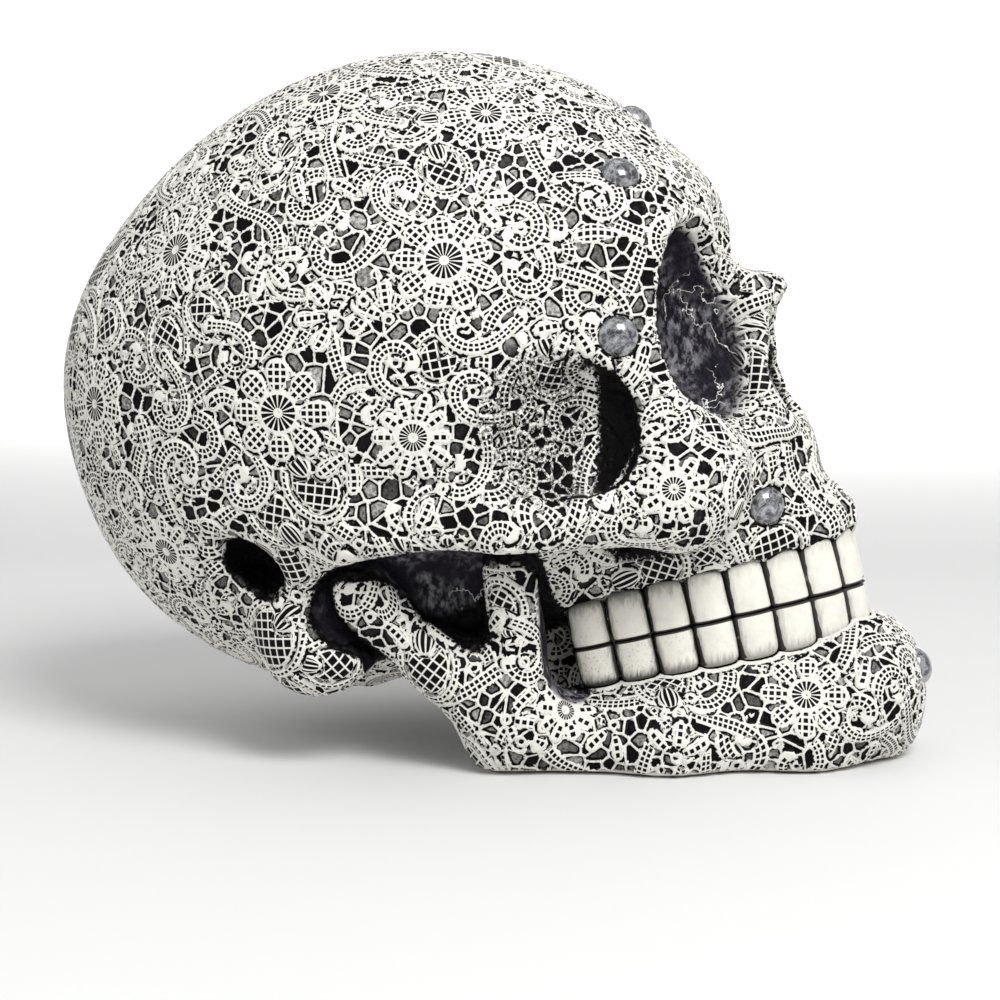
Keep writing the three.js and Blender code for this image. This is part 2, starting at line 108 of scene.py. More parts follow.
hollow_shares = [
    egg([0.414, -0.021, 0.227], [0.143, 0.186, 0.097]),  # under the cheek arch
    egg([0, -0.169, 0.141], [0.157, 0.191, 0.086], 12),  # palate
    egg([0, -0.025, 0.043], [0.243, 0.169, 0.162]),  # throat
]
ear_shares = egg([0.45, 0.22, 0.284], [0.14, 0.045, 0.036], -38)
foramen_shares = [0, 0.186]
jaw_shares = [
    rod([0.3, -0.042, 0.065], [0.329, 0.102, 0.232], 0.046, 0.046),  # back edge of the upright
    rod([0.293, -0.06, 0.108], [0.318, -0.05, 0.297], 0.047, 0.046),  # front spur
    rod([0.243, -0.05, 0.1], [0.243, -0.045, 0.2], 0.043, 0.043),  # web behind the teeth
    rod([0.293, -0.051, 0.086], [0.307, 0.025, 0.157], 0.043, 0.039),  # web between them
    rod([0.329, 0.102, 0.232], [0.343, 0.114, 0.27], 0.046, 0.05),  # knuckle
    rod([0.264, -0.042, 0.043], [0.221, -0.212, 0.043], 0.068, 0.071),  # body, back
    rod([0.221, -0.212, 0.043], [0.129, -0.356, 0.049], 0.071, 0.079),  # body, middle
    rod([0.129, -0.356, 0.049], [0, -0.415, 0.049], 0.079, 0.089),  # body, front
    egg([0, -0.415, 0.108], [0.193, 0.064, 0.092]),  # chin
]
gem_shares = [
    ("gem_temple", [0.386, -0.174, 0.6], True),
    ("gem_brow", [0.271, -0.159, 0.8], True),
    ("gem_forehead", [0, -0.155, 0.897], False),
    ("gem_cheek", [0.179, -0.318, 0.365], True),
    ("gem_chin", [0, -0.479, 0.13], False),
]

# Large flowers of the lace: each one's place and its size as a share of the flower's radius
flower_shares = [
    ([-0.5, 0.17, 0.5], 1),
    ([-0.46, 0, 0.7], 1),
    ([-0.4, 0.31, 0.72], 1),
    ([-0.33, -0.03, 0.93], 0.9),
    ([-0.36, 0.42, 0.5], 1),
    ([-0.4, 0.34, 0.28], 0.85),
    ([-0.27, 0.17, 0.96], 1),
    ([-0.15, 0.42, 0.82], 1),
    ([-0.2, 0.46, 0.33], 0.9),
    ([-0.12, -0.2, 0.8], 0.8),
    ([-0.38, -0.23, 0.4], 0.7),
    ([-0.48, 0.03, 0.47], 0.8),
    ([0.49, 0.1, 0.62], 1),
    ([0.44, 0.3, 0.6], 1),
    ([0.46, -0.07, 0.67], 0.9),
    ([0.4, 0.1, 0.84], 1),
    ([0.28, -0.02, 0.96], 0.9),
    ([0.4, 0.36, 0.4], 0.9),
    ([0.48, 0.15, 0.42], 0.8),
    ([0.27, 0.32, 0.87], 1),
    ([0.1, 0.47, 0.38], 0.9),
    ([0.38, -0.23, 0.4], 0.7),
    ([0.13, -0.19, 0.8], 0.8),
    ([-0.01, 0.08, 1], 1),
    ([0.07, 0.5, 0.63], 1),
]
jaw_flower_shares = [
    ([-0.2, -0.36, 0.11], 0.85),
    ([0.22, -0.33, 0.1], 0.8),
    ([-0.29, -0.1, 0.08], 0.65),
    ([0.29, -0.14, 0.08], 0.65),
]

# Opposite corners of the boxes that hold the bones
cranium_box_shares = [[-0.5, -0.45, 0], [0.5, 0.51, 1]]
jaw_box_shares = [[-0.4, -0.5, 0], [0.4, 0.18, 0.34]]

# Half the open share of a hole's cell, for each kind of motif
open_shares = {
    "petal": 0.33, "leaf": 0.32, "border": 0.32, "fan": 0.40, "pod": 0.33, "tape": 0.34, "wheel": 0.34,
}

# How tightly the curls bend at most, in radians over the longest curl's length
curl_turn_shares = [17.16, 21.12]
small_curl_turn_shares = [17.82, 23.1]

# Each lamp's place and size as shares of the lamps' distance
lamp_shares = [
    ("key_lamp", [-0.75, -0.55, 1.0], 0.55),
    ("fill_lamp", [-0.6, 0.9, 0.5], 0.9),
    ("top_lamp", [0.2, 0.0, 1.2], 0.8),
    ("backdrop_lamp", [1.5, 0.0, 1.6], 1.2),
]

# Where the brush and the painted shade change: the first size of each is where it starts, the second where
# it ends
hollow_rim = (0.2 * mm, 1.1 * mm)
bare_depth = (3.5 * mm, 6 * mm)
shade_depth = (2 * mm, 4 * mm)
temple_shade_reach = (1 * mm, 11 * mm)
saddle_shade_reach = (0, 2 * mm)
corner_wash = (-1 * mm, 1 * mm)
plain_foot = (1 * mm, 1.6 * mm)
ground_swell = (0.3 * mm, 1.1 * mm)
lace_edge = (0.05 * mm, -0.06 * mm)
bar_edge = (0.06 * mm, -0.06 * mm)
hole_edge = (0.02 * mm, -0.12 * mm)
cell_edge = (0.46 * mm, 0.66 * mm)

# Sizes of the grain, strokes, creases and painted sheen in the finishes
edge_sway = 0.26 * mm
edge_grain = 1.6 * mm
cell_sway = 0.6 * mm
cell_grain = 2 * mm
brush_grain = 0.9 * mm
fold_size = 1.6 * mm
sheen_patch = 12 * mm
vein_size = 9 * mm
vein_patch = 18 * mm
tint_size = 9 * mm
dirt_size = 0.8 * mm
chalk_size = 0.5 * mm
relief_bump = 0.35 * mm
streak_size = 0.9 * mm
tooth_speck = 0.7 * mm
tooth_patch = 4 * mm
tooth_dent = 1.4 * mm
tooth_bump = 0.4 * mm
foil_bend = 5 * mm
foil_shift = 4 * mm
foil_crease = 2.4 * mm
foil_cloud = 2.2 * mm
floor_speckle = 30 * mm

# The signed way to a bar counts only where the gap to it is below this
bar_doubt = 0.5 * mm

# How far a place looks for the skull itself, in steps, and how much each look counts, for the painted shade
# in the hollows
look_step = 1 * mm
look_shares = [(3, 0.2), (7, 0.3), (14, 0.3), (24, 0.2)]

# How dark the painted shade is in the temples and between the brows
temple_dark_share = 0.62
saddle_dark_share = 0.6

# Heights of the plain rim and of the ground's swell as shares of the relief,
# and how much of the lace's height the bare places lose
plain_height_share = 0.35
swell_share = 0.3
bare_flat_share = 0.6

# How uneven the teeth are in size, lean and side, as shares of a tooth's half width
tooth_size_share = 0.012
tooth_lean_share = 0.05
tooth_side_share = 0.022

# The step that finds the slope of a distance, and the height up to which the jaw's base is flat
slope_step = 0.2 * mm
base_height = 0.3 * mm


def length_of(name, words, value):
    return FloatProperty(name=name, description=words, default=value, subtype="DISTANCE", unit="LENGTH")


def colour_of(name, words, value):
    return FloatVectorProperty(
        name=name, description=words, default=value, size=3, subtype="COLOR", min=0, max=1
    )


class SkullForm(bpy.types.PropertyGroup):
    """Sizes of the bare skull"""

    width: length_of("Width", "Widest place of the brain case", 0.140)
    length: length_of("Length", "From the chin to the back of the head", 0.236)
    height: length_of("Height", "From the jaw's base to the crown", 0.185)
    wall: length_of("Wall", "Thickness of the hollow cranium", 0.0032)
    solid_face: length_of("Solid face", "From the front teeth back to where the hollow starts", 0.058)
    foramen_width: length_of("Opening width", "Width of the opening below", 0.030)
    foramen_length: length_of("Opening length", "Length of the opening below", 0.034)
    bone_blend: length_of("Bone fillet", "Fillet where one bone runs into the next", 0.009)
    vault_blend: length_of("Vault fillet", "Fillet between the domes of the brain case", 0.010)
    brow_blend: length_of("Brow fillet", "Fillet round the brow", 0.016)
    jaw_blend: length_of("Jaw fillet", "Fillet between the jaw's bones", 0.010)
    hollow_edge: length_of("Hollow edge", "Fillet along the edge of a hollow", 0.004)
    temple_edge: length_of("Temple edge", "Fillet round the temple's hollow", 0.004)
    nose_edge: length_of("Nose edge", "Fillet round the nose", 0.002)
    arch_half_width: length_of("Arch half width", "Half the width of the row of teeth", 0.030)
    arch_depth: length_of("Arch depth", "From the front teeth to the back ones", 0.074)
    arch_front: length_of("Arch front", "From the cranium's middle forward to the biting edge", 0.0975)
    arch_height: length_of("Arch height", "Biting edge of the front teeth above the base", 0.046)
    arch_tilt: FloatProperty(
        name="Arch tilt", description="Rise of the biting plane toward the front",
        default=math.radians(12.8), subtype="ANGLE",
    )
    gum_radius: length_of("Gum radius", "Radius of the gums", 0.0085)
    gum_inset: length_of("Gum inset", "From the teeth's front to the gum's middle", 0.007)
    upper_gum_lift: length_of("Upper gum lift", "Upper gum above the biting plane", 0.0185)
    lower_gum_lift: length_of("Lower gum lift", "Lower gum below the biting plane", 0.019)
    net_cell: length_of("Net cell", "Spacing of the net that the bones start from", 0.0018)


class LaceWork(bpy.types.PropertyGroup):
    """Sizes of the lace"""

    fineness: length_of("Fineness", "Longest edge in the lace's surface", 0.00065)
    relief: length_of("Relief", "Height of the lace over its ground", 0.0010)
    ground: length_of("Ground", "How far the ground lies below the bone's surface", 0.00045)
    bar: length_of("Bar", "Width of the white on the bars that join the motifs", 0.0006)
    bar_foot: length_of("Bar foot", "Width of those bars where they rise from the ground", 0.0009)
    bar_spacing: length_of("Bar spacing", "Distance between the cells of the net of bars", 0.0034)
    bars_left_out: FloatProperty(
        name="Bars left out", description="Share of the net's cells that run into the next", default=0.3,
    )
    rim: length_of("Rim", "Solid rim round a motif", 0.0009)
    round_over: length_of("Rounding", "How far the lace rounds over at its edge", 0.00055)
    hole_step: length_of("Hole step", "Spacing of the square holes in a petal or leaf", 0.0017)
    tape_step: length_of("Tape step", "Spacing of the square holes in a tape", 0.0014)
    moat: length_of("Moat", "Gap between one motif and the next", 0.0006)
    flower: length_of("Flower", "Radius of the largest flowers", 0.0135)
    fan: length_of("Fan", "Radius of the round fans", 0.0115)
    hub_share: FloatProperty(
        name="Hub share", description="Width of a flower's wheel as a share", default=0.4,
    )
    fewest_petals: IntProperty(
        name="Fewest petals", description="Petals of the smallest kind of flower", default=8,
    )
    petal_kinds: IntProperty(
        name="Petal kinds", description="Kinds of flower, each with one petal more", default=3,
    )
    flower_twist: FloatProperty(
        name="Flower twist", description="Turn from one flower to the next",
        default=math.radians(137.5), subtype="ANGLE",
    )
    tooth_rim: length_of("Tooth rim", "From a tooth to the middle of the ridge round it", 0.0011)
    curl: length_of("Curl", "Length of the longest curled tapes", 0.066)
    tape: length_of("Tape", "Half width of a tape", 0.0021)
    leaf: length_of("Leaf", "Length of a leaf", 0.011)
    ring: length_of("Ring", "Radius of the small rings", 0.0017)
    seed: IntProperty(name="Seed", description="Start of the random layout", default=7)


class ToothForm(bpy.types.PropertyGroup):
    """Sizes of the teeth"""

    per_side: IntProperty(name="Teeth per side", description="Teeth on each side of a jaw", default=8)
    depth: length_of("Depth", "Depth of a tooth", 0.008)
    upper_front: length_of("Upper front", "Height of the upper front teeth", 0.0155)
    upper_back: length_of("Upper back", "Height of the upper back teeth", 0.012)
    lower_front: length_of("Lower front", "Height of the lower front teeth", 0.013)
    lower_back: length_of("Lower back", "Height of the lower back teeth", 0.0105)
    gap: length_of("Gap", "Gap between teeth", 0.0003)
    crown: length_of("Crown", "How far a tooth's front swells out", 0.0008)
    bite_square: FloatProperty(
        name="Bite squareness", description="Squareness of a tooth at its biting end", default=12,
    )
    root_square: FloatProperty(
        name="Root squareness", description="Squareness of a tooth at its root end", default=5,
    )


class GemForm(bpy.types.PropertyGroup):
    """Sizes of the gems"""

    width: length_of("Width", "Width of a gem", 0.010)
    height: length_of("Height", "Height of a gem's dome", 0.004)
    seat: length_of("Seat", "How deep a gem sits in the surface", 0.0012)
    girdle_share: FloatProperty(
        name="Girdle share", description="Height of a gem's widest place as a share", default=0.06,
    )
    foot_share: FloatProperty(
        name="Foot share", description="Width of a gem's flat back as a share", default=0.96,
    )


class Finishes(bpy.types.PropertyGroup):
    """Colours of the finishes"""

    lace: colour_of("Lace", "Dry-brushed lace", (0.80, 0.785, 0.735))
    ground: colour_of("Ground", "Black ground behind the lace", (0.004, 0.0035, 0.004))
    brushed: colour_of("Brushed", "White brushed over the ground in wide cells", (0.66, 0.645, 0.61))
    socket: colour_of("Socket", "Ground of the eye sockets", (0.016, 0.014, 0.021))
    # Brush strokes in the sockets, also used as a painted broad highlight
    socket_strokes_and_sheen: colour_of("Socket light", "Brush strokes in the sockets", (0.27, 0.265, 0.285))
    tooth: colour_of("Tooth", "Clean part of a tooth", (0.80, 0.775, 0.70))
    grime: colour_of("Grime", "Wash between the teeth", (0.035, 0.031, 0.028))
    # The foil's colours also paint the reflections seen in the glass
    foil: colour_of("Foil", "Bright foil behind a gem", (0.40, 0.41, 0.43))
    foil_dark: colour_of("Dark foil", "Creases of the foil behind a gem", (0.045, 0.045, 0.055))
    floor: colour_of("Floor", "Plain pale floor", (0.80, 0.80, 0.79))


class StageSetup(bpy.types.PropertyGroup):
    """Camera and lights"""

    camera_turn: FloatProperty(
        name="Camera turn", description="Camera's turn about the upright from the front",
        default=math.radians(-78), subtype="ANGLE",
    )
    camera_rise: FloatProperty(
        name="Camera rise", description="Camera's angle above the level",
        default=math.radians(6), subtype="ANGLE",
    )
    camera_distance: length_of("Camera distance", "From the camera to what it looks at", 0.600)
    camera_view: FloatProperty(
        name="Camera view", description="Camera's angle of view",
        default=math.radians(25.4), subtype="ANGLE",
    )
    aim_height: length_of("Aim height", "Height that the camera looks at", 0.065)
    lamp_distance: length_of("Lamp distance", "Distance that the lamps' places are shares of", 1.0)
    key_power: FloatProperty(name="Key power", description="Power of the main lamp in watts", default=15)
    fill_power: FloatProperty(
        name="Fill power", description="Power of the fill lamp and the top lamp in watts", default=1.2,
    )
    backdrop_power: FloatProperty(
        name="Backdrop power", description="Power of the backdrop's lamp in watts", default=60,
    )
    backdrop_aim: FloatVectorProperty(
        name="Backdrop aim", description="Where the backdrop's lamp points",
        default=(3.2, 0.2, 0.4), subtype="XYZ", unit="LENGTH",
    )
    floor_radius: length_of("Floor radius", "Radius of the flat part of the floor", 2.2)
    floor_rise: length_of("Floor rise", "Height to which the floor curves up at its edge", 1.4)
    sky: FloatProperty(name="Sky", description="Strength of the even light all round", default=0.5)
    sky_colour: colour_of("Sky colour", "Colour of the even light all round", (0.95, 0.96, 0.97))


# The skull's form as signed distances, negative inside


def joined(one, other, blend):
    near = np.maximum(blend - np.abs(one - other), 0) / blend
    return np.minimum(one, other) - near * near * blend / 4


def carved(body, tool, blend):
    return -joined(-body, tool, blend)


def rod_distance(points, start, end, start_radius, end_radius):
    axis = end - start
    away = points - start
    along = np.clip(away @ axis / (axis @ axis), 0, 1)
    return np.linalg.norm(away - along[:, None] * axis, axis=1) - (
        start_radius + (end_radius - start_radius) * along
    )


class Form:
    """Distances to the skull's bones, in the skull's own place before it is centred"""

    def __init__(self, sizes):
        self.sizes = sizes
        self.scale = np.array([sizes.width, sizes.length, sizes.height])
        tilt = sizes.arch_tilt
        self.arch_start = np.array([0, -sizes.arch_front, sizes.arch_height])
        self.arch_down = np.array([0, math.cos(tilt), -math.sin(tilt)])
        self.arch_up = np.array([0, math.sin(tilt), math.cos(tilt)])

    def shape(self, points, shape):
        width = self.sizes.width
        if shape["kind"] == "rod":
            return rod_distance(
                points, shape["from"] * self.scale, shape["to"] * self.scale,
                shape["start"] * width, shape["end"] * width,
            )
        x, y, z = (points - shape["at"] * self.scale).T
        pitch, yaw = math.radians(shape["pitch"]), math.radians(shape["yaw"])
        if pitch:
            y, z = y * math.cos(pitch) - z * math.sin(pitch), y * math.sin(pitch) + z * math.cos(pitch)
        if yaw:
            x, y = x * math.cos(yaw) + y * math.sin(yaw), y * math.cos(yaw) - x * math.sin(yaw)
        half = shape["half"] * self.scale
        if shape["kind"] == "egg":
            a, b, c = x / half[0], y / half[1], z / half[2]
            reach = np.sqrt(a * a + b * b + c * c)
            slope = np.sqrt((a / half[0]) ** 2 + (b / half[1]) ** 2 + (c / half[2]) ** 2)
            return reach * (reach - 1) / np.maximum(slope, 1e-9)
        rounding = shape["round"] * width
        over = np.abs(np.stack([x, y, z], 1)) - (half - rounding)
        return np.linalg.norm(np.maximum(over, 0), axis=1) + np.minimum(over.max(1), 0) - rounding

    def together(self, points, shapes, blend):
        distance = self.shape(points, shapes[0])
        for shape in shapes[1:]:
            distance = joined(distance, self.shape(points, shape), blend)
        return distance

    def arch_point(self, turn, lift, inset):
        """Places on the arch. Turn is 0 at the middle and 1 at the back, lift is above the bite."""
        sizes = self.sizes
        angle = np.asarray(turn) * math.pi / 2
        across = (sizes.arch_half_width - inset) * np.sin(angle)
        back = sizes.arch_depth - (sizes.arch_depth - inset) * np.cos(angle)
        rise = np.multiply.outer(lift, self.arch_up)
        point = self.arch_start + np.multiply.outer(back, self.arch_down) + rise
        point[..., 0] = across
        return point

    def gum(self, points, lift):
        sizes = self.sizes
        nearest = np.full(len(points), np.inf)
        steps = 7
        for step in range(steps):
            turn = np.array([step, step + 1]) / steps
            start, end = self.arch_point(turn, np.full(2, lift), sizes.gum_inset)
            piece = rod_distance(points, start, end, sizes.gum_radius, sizes.gum_radius)
            nearest = np.minimum(nearest, piece)
        return nearest

    @staticmethod
    def one_side(points):
        side = points.copy()
        side[:, 0] = np.abs(side[:, 0])
        return side

    def vault(self, points):
        return self.together(self.one_side(points), vault_shares, self.sizes.vault_blend)

    def uncut_cranium(self, points):
        sizes = self.sizes
        side = self.one_side(points)
        bone = self.together(side, vault_shares, sizes.vault_blend)
        bone = joined(bone, self.shape(side, brow_shares), sizes.brow_blend)
        for shape in face_shares:
            bone = joined(bone, self.shape(side, shape), sizes.bone_blend)
        bone = joined(bone, self.gum(side, sizes.upper_gum_lift), sizes.bone_blend)
        return carved(bone, self.shape(side, saddle_shares), sizes.bone_blend)

    def solid_cranium(self, points):
        sizes = self.sizes
        side = self.one_side(points)
        bone = self.uncut_cranium(points)
        bone = carved(bone, self.together(side, orbit_shares, sizes.bone_blend), sizes.hollow_edge)
        bone = carved(bone, self.together(side, nose_shares, sizes.hollow_edge), sizes.nose_edge)
        bone = carved(bone, self.together(side, temple_shares, sizes.bone_blend), sizes.temple_edge)
        for shape in hollow_shares:
            bone = carved(bone, self.shape(side, shape), sizes.hollow_edge)
        return carved(bone, self.shape(side, ear_shares), sizes.hollow_edge)

    def foramen(self, points):
        half_width, half_length = self.sizes.foramen_width / 2, self.sizes.foramen_length / 2
        across = points[:, 0] / half_width
        along = (points[:, 1] - foramen_shares[1] * self.sizes.length) / half_length
        return np.maximum((np.hypot(across, along) - 1) * half_width, points[:, 2] - self.sizes.height / 2)

    def cavity(self, points, solid):
        sizes = self.sizes
        front = sizes.solid_face - sizes.arch_front
        return np.maximum(solid, self.vault(points)) + sizes.wall + np.maximum(front - points[:, 1], 0)

    def cranium(self, points):
        solid = self.solid_cranium(points)
        inside = np.minimum(self.cavity(points, solid), self.foramen(points))
        return carved(solid, inside, self.sizes.nose_edge)

    def jaw(self, points):
        sizes = self.sizes
        side = self.one_side(points)
        bone = self.together(side, jaw_shares, sizes.jaw_blend)
        bone = joined(bone, self.gum(side, -sizes.lower_gum_lift), sizes.bone_blend)
        return carved(bone, points[:, 2], sizes.nose_edge)

    def settled(self, points, distance, rounds=1):
        """The nearest places on a surface, and the directions out of it"""
        for _ in range(rounds):
            here = distance(points)
            slope = np.stack([
                distance(points + np.eye(3)[axis] * slope_step) - here for axis in range(3)
            ], 1) / slope_step
            size = np.maximum(np.linalg.norm(slope, axis=1), 0.3)
            points = points - slope * (here / size ** 2)[:, None]
        return points, slope / size[:, None]


def surface_net(distance, low, high, cell):
    """A closed surface on a grid: one corner in each crossed cell, one quad across each crossed edge"""
    axes = [np.arange(math.floor((b - a) / cell) + 2) * cell + a for a, b in zip(low, high)]
    grid = np.stack(np.meshgrid(*axes, indexing="ij"), -1)
    values = distance(grid.reshape(-1, 3)).reshape(grid.shape[:3])
    inside = values < 0
    cells = tuple(n - 1 for n in values.shape)
    total = np.zeros(cells + (3,))
    count = np.zeros(cells)
    quads = []
    numbers = np.arange(np.prod(cells)).reshape(cells)
    for axis in range(3):
        one, two = (axis + 1) % 3, (axis + 2) % 3
        lower = [slice(None)] * 3
        upper = [slice(None)] * 3
        lower[axis], upper[axis] = slice(0, -1), slice(1, None)
        before, after = values[tuple(lower)], values[tuple(upper)]
        crossed = inside[tuple(lower)] != inside[tuple(upper)]
        at = np.argwhere(crossed)
        share = before[crossed] / (before[crossed] - after[crossed])
        place = grid[tuple(at.T)].copy()
        place[:, axis] += share * cell
        for shift_one in (0, -1):
            for shift_two in (0, -1):
                touched = at.copy()
                touched[:, one] += shift_one
                touched[:, two] += shift_two
                np.add.at(total, tuple(touched.T), place)
                np.add.at(count, tuple(touched.T), 1)
        ring = []
        for shift_one, shift_two in ((-1, -1), (0, -1), (0, 0), (-1, 0)):
            touched = at.copy()
            touched[:, one] += shift_one
            touched[:, two] += shift_two
            ring.append(numbers[tuple(touched.T)])
        ring = np.stack(ring, 1)
        leaving = before[crossed] < 0
        quads.append(np.where(leaving[:, None], ring, ring[:, ::-1]))
    quads = np.concatenate(quads)
    used, quads = np.unique(quads, return_inverse=True)
    quads = quads.reshape(-1, 4)
    points = (total.reshape(-1, 3)[used]) / count.reshape(-1)[used, None]
    first = np.linalg.norm(points[quads[:, 0]] - points[quads[:, 2]], axis=1)
    second = np.linalg.norm(points[quads[:, 1]] - points[quads[:, 3]], axis=1)
    long_way = (first > second)[:, None]
    turned = np.where(long_way, np.roll(quads, -1, axis=1), quads)
    faces = np.concatenate([turned[:, [0, 1, 2]], turned[:, [0, 2, 3]]])
    return points, faces


class Skin:
    """A surface of triangles that can be made finer, with values at its corners"""

    def __init__(self, points, faces):
        self.points = points
        self.faces = faces
        self.outward = np.zeros_like(points)
        self.values = {}

    def edges(self):
        ends = np.sort(self.faces[:, [0, 1, 1, 2, 2, 0]].reshape(-1, 2), axis=1)
        keys = ends[:, 0].astype(np.int64) * len(self.points) + ends[:, 1]
        unique, inverse = np.unique(keys, return_inverse=True)
        return np.stack([unique // len(self.points), unique % len(self.points)], 1), inverse.reshape(-1, 3)

    def split(self, longest, wanted):
        """Halves the edges over a length whose two ends are wanted. Returns whether any was."""
        edges, of_face = self.edges()
        lengths = np.linalg.norm(self.points[edges[:, 0]] - self.points[edges[:, 1]], axis=1)
        marked = (lengths > longest) & wanted[edges].all(1)
        if not marked.any():
            return False
        middle = np.full(len(edges), -1)
        middle[marked] = len(self.points) + np.arange(marked.sum())
        ends = edges[marked]
        # The middle of the curve that leaves both ends along the surface
        along = self.points[ends[:, 1]] - self.points[ends[:, 0]]
        out, other = self.outward[ends[:, 0]], self.outward[ends[:, 1]]
        bend = (along * out).sum(1)[:, None] * out - (along * other).sum(1)[:, None] * other
        self.points = np.concatenate([self.points, self.points[ends].mean(1) - bend / 8])
        middle_out = out + other
        middle_out /= np.maximum(np.linalg.norm(middle_out, axis=1)[:, None], 1e-9)
        self.outward = np.concatenate([self.outward, middle_out])
        for name, value in self.values.items():
            self.values[name] = np.concatenate([value, value[ends].mean(1)])
        mids = middle[of_face]
        count = (mids >= 0).sum(1)
        parts = [self.faces[count == 0]]
        # Each cut face is turned until its uncut or its only cut edge comes first
        for cuts in (1, 2, 3):
            rows = count == cuts
            face, mid = self.faces[rows], mids[rows]
            turn = np.argmax((mid >= 0) if cuts == 1 else (mid < 0), axis=1)
            order = (turn[:, None] + np.arange(3)) % 3
            a, b, c = np.take_along_axis(face, order, 1).T
            ab, bc, ca = np.take_along_axis(mid, order, 1).T
            if cuts == 1:
                pieces = [(a, ab, c), (ab, b, c)]
            elif cuts == 2:
                pieces = [(a, b, bc), (a, bc, ca), (ca, bc, c)]
            else:
                pieces = [(a, ab, ca), (ab, b, bc), (ca, bc, c), (ab, bc, ca)]
            parts += [np.stack(piece, 1) for piece in pieces]
        self.faces = np.concatenate(parts)
        return True

    def relaxed(self, rounds):
        """Corners drawn toward the middle of their neighbours, which evens out the triangles"""
        edges, _ = self.edges()
        both = np.concatenate([edges, edges[:, ::-1]])
        count = np.bincount(both[:, 0], minlength=len(self.points))[:, None]
        for _ in range(rounds):
            mean = np.stack([
                np.bincount(both[:, 0], self.points[both[:, 1], axis], len(self.points)) for axis in range(3)
            ], 1) / count
            self.points = (self.points + mean) / 2


# Lace: each motif is laid over what is there, and bars join what is left open

# Farther from the lace than any distance that the finishes look at
FAR = 0.02


class Buckets:
    """Points sorted into cubes, so that those near a place are found fast"""

    def __init__(self, points, cell):
        self.cell = cell
        self.low = points.min(0)
        keys = ((points - self.low) / cell).astype(int)
        self.last = keys.max(0)
        flat = self.number(keys)
        self.order = np.argsort(flat, kind="stable")
        self.starts = np.searchsorted(flat[self.order], np.arange(self.number(self.last) + 2))

    def number(self, keys):
        return (keys[..., 0] * (self.last[1] + 1) + keys[..., 1]) * (self.last[2] + 1) + keys[..., 2]

    def near(self, place, reach):
        low = np.clip((place - reach - self.low) // self.cell, 0, self.last).astype(int)
        high = np.clip((place + reach - self.low) // self.cell, 0, self.last).astype(int)
        runs = []
        for x in range(low[0], high[0] + 1):
            for y in range(low[1], high[1] + 1):
                first = self.starts[self.number(np.array([x, y, low[2]]))]
                after = self.starts[self.number(np.array([x, y, high[2]])) + 1]
                runs.append(self.order[first:after])
        return np.concatenate(runs)


def axes_of(out):
    """Two directions along the surface at a place whose way out is given"""
    helper = np.array([0, 0, 1.0]) if abs(out[2]) < 0.8 else np.array([0, 1.0, 0])
    side = np.cross(helper, out)
    side /= np.linalg.norm(side)
    return side, np.cross(out, side)


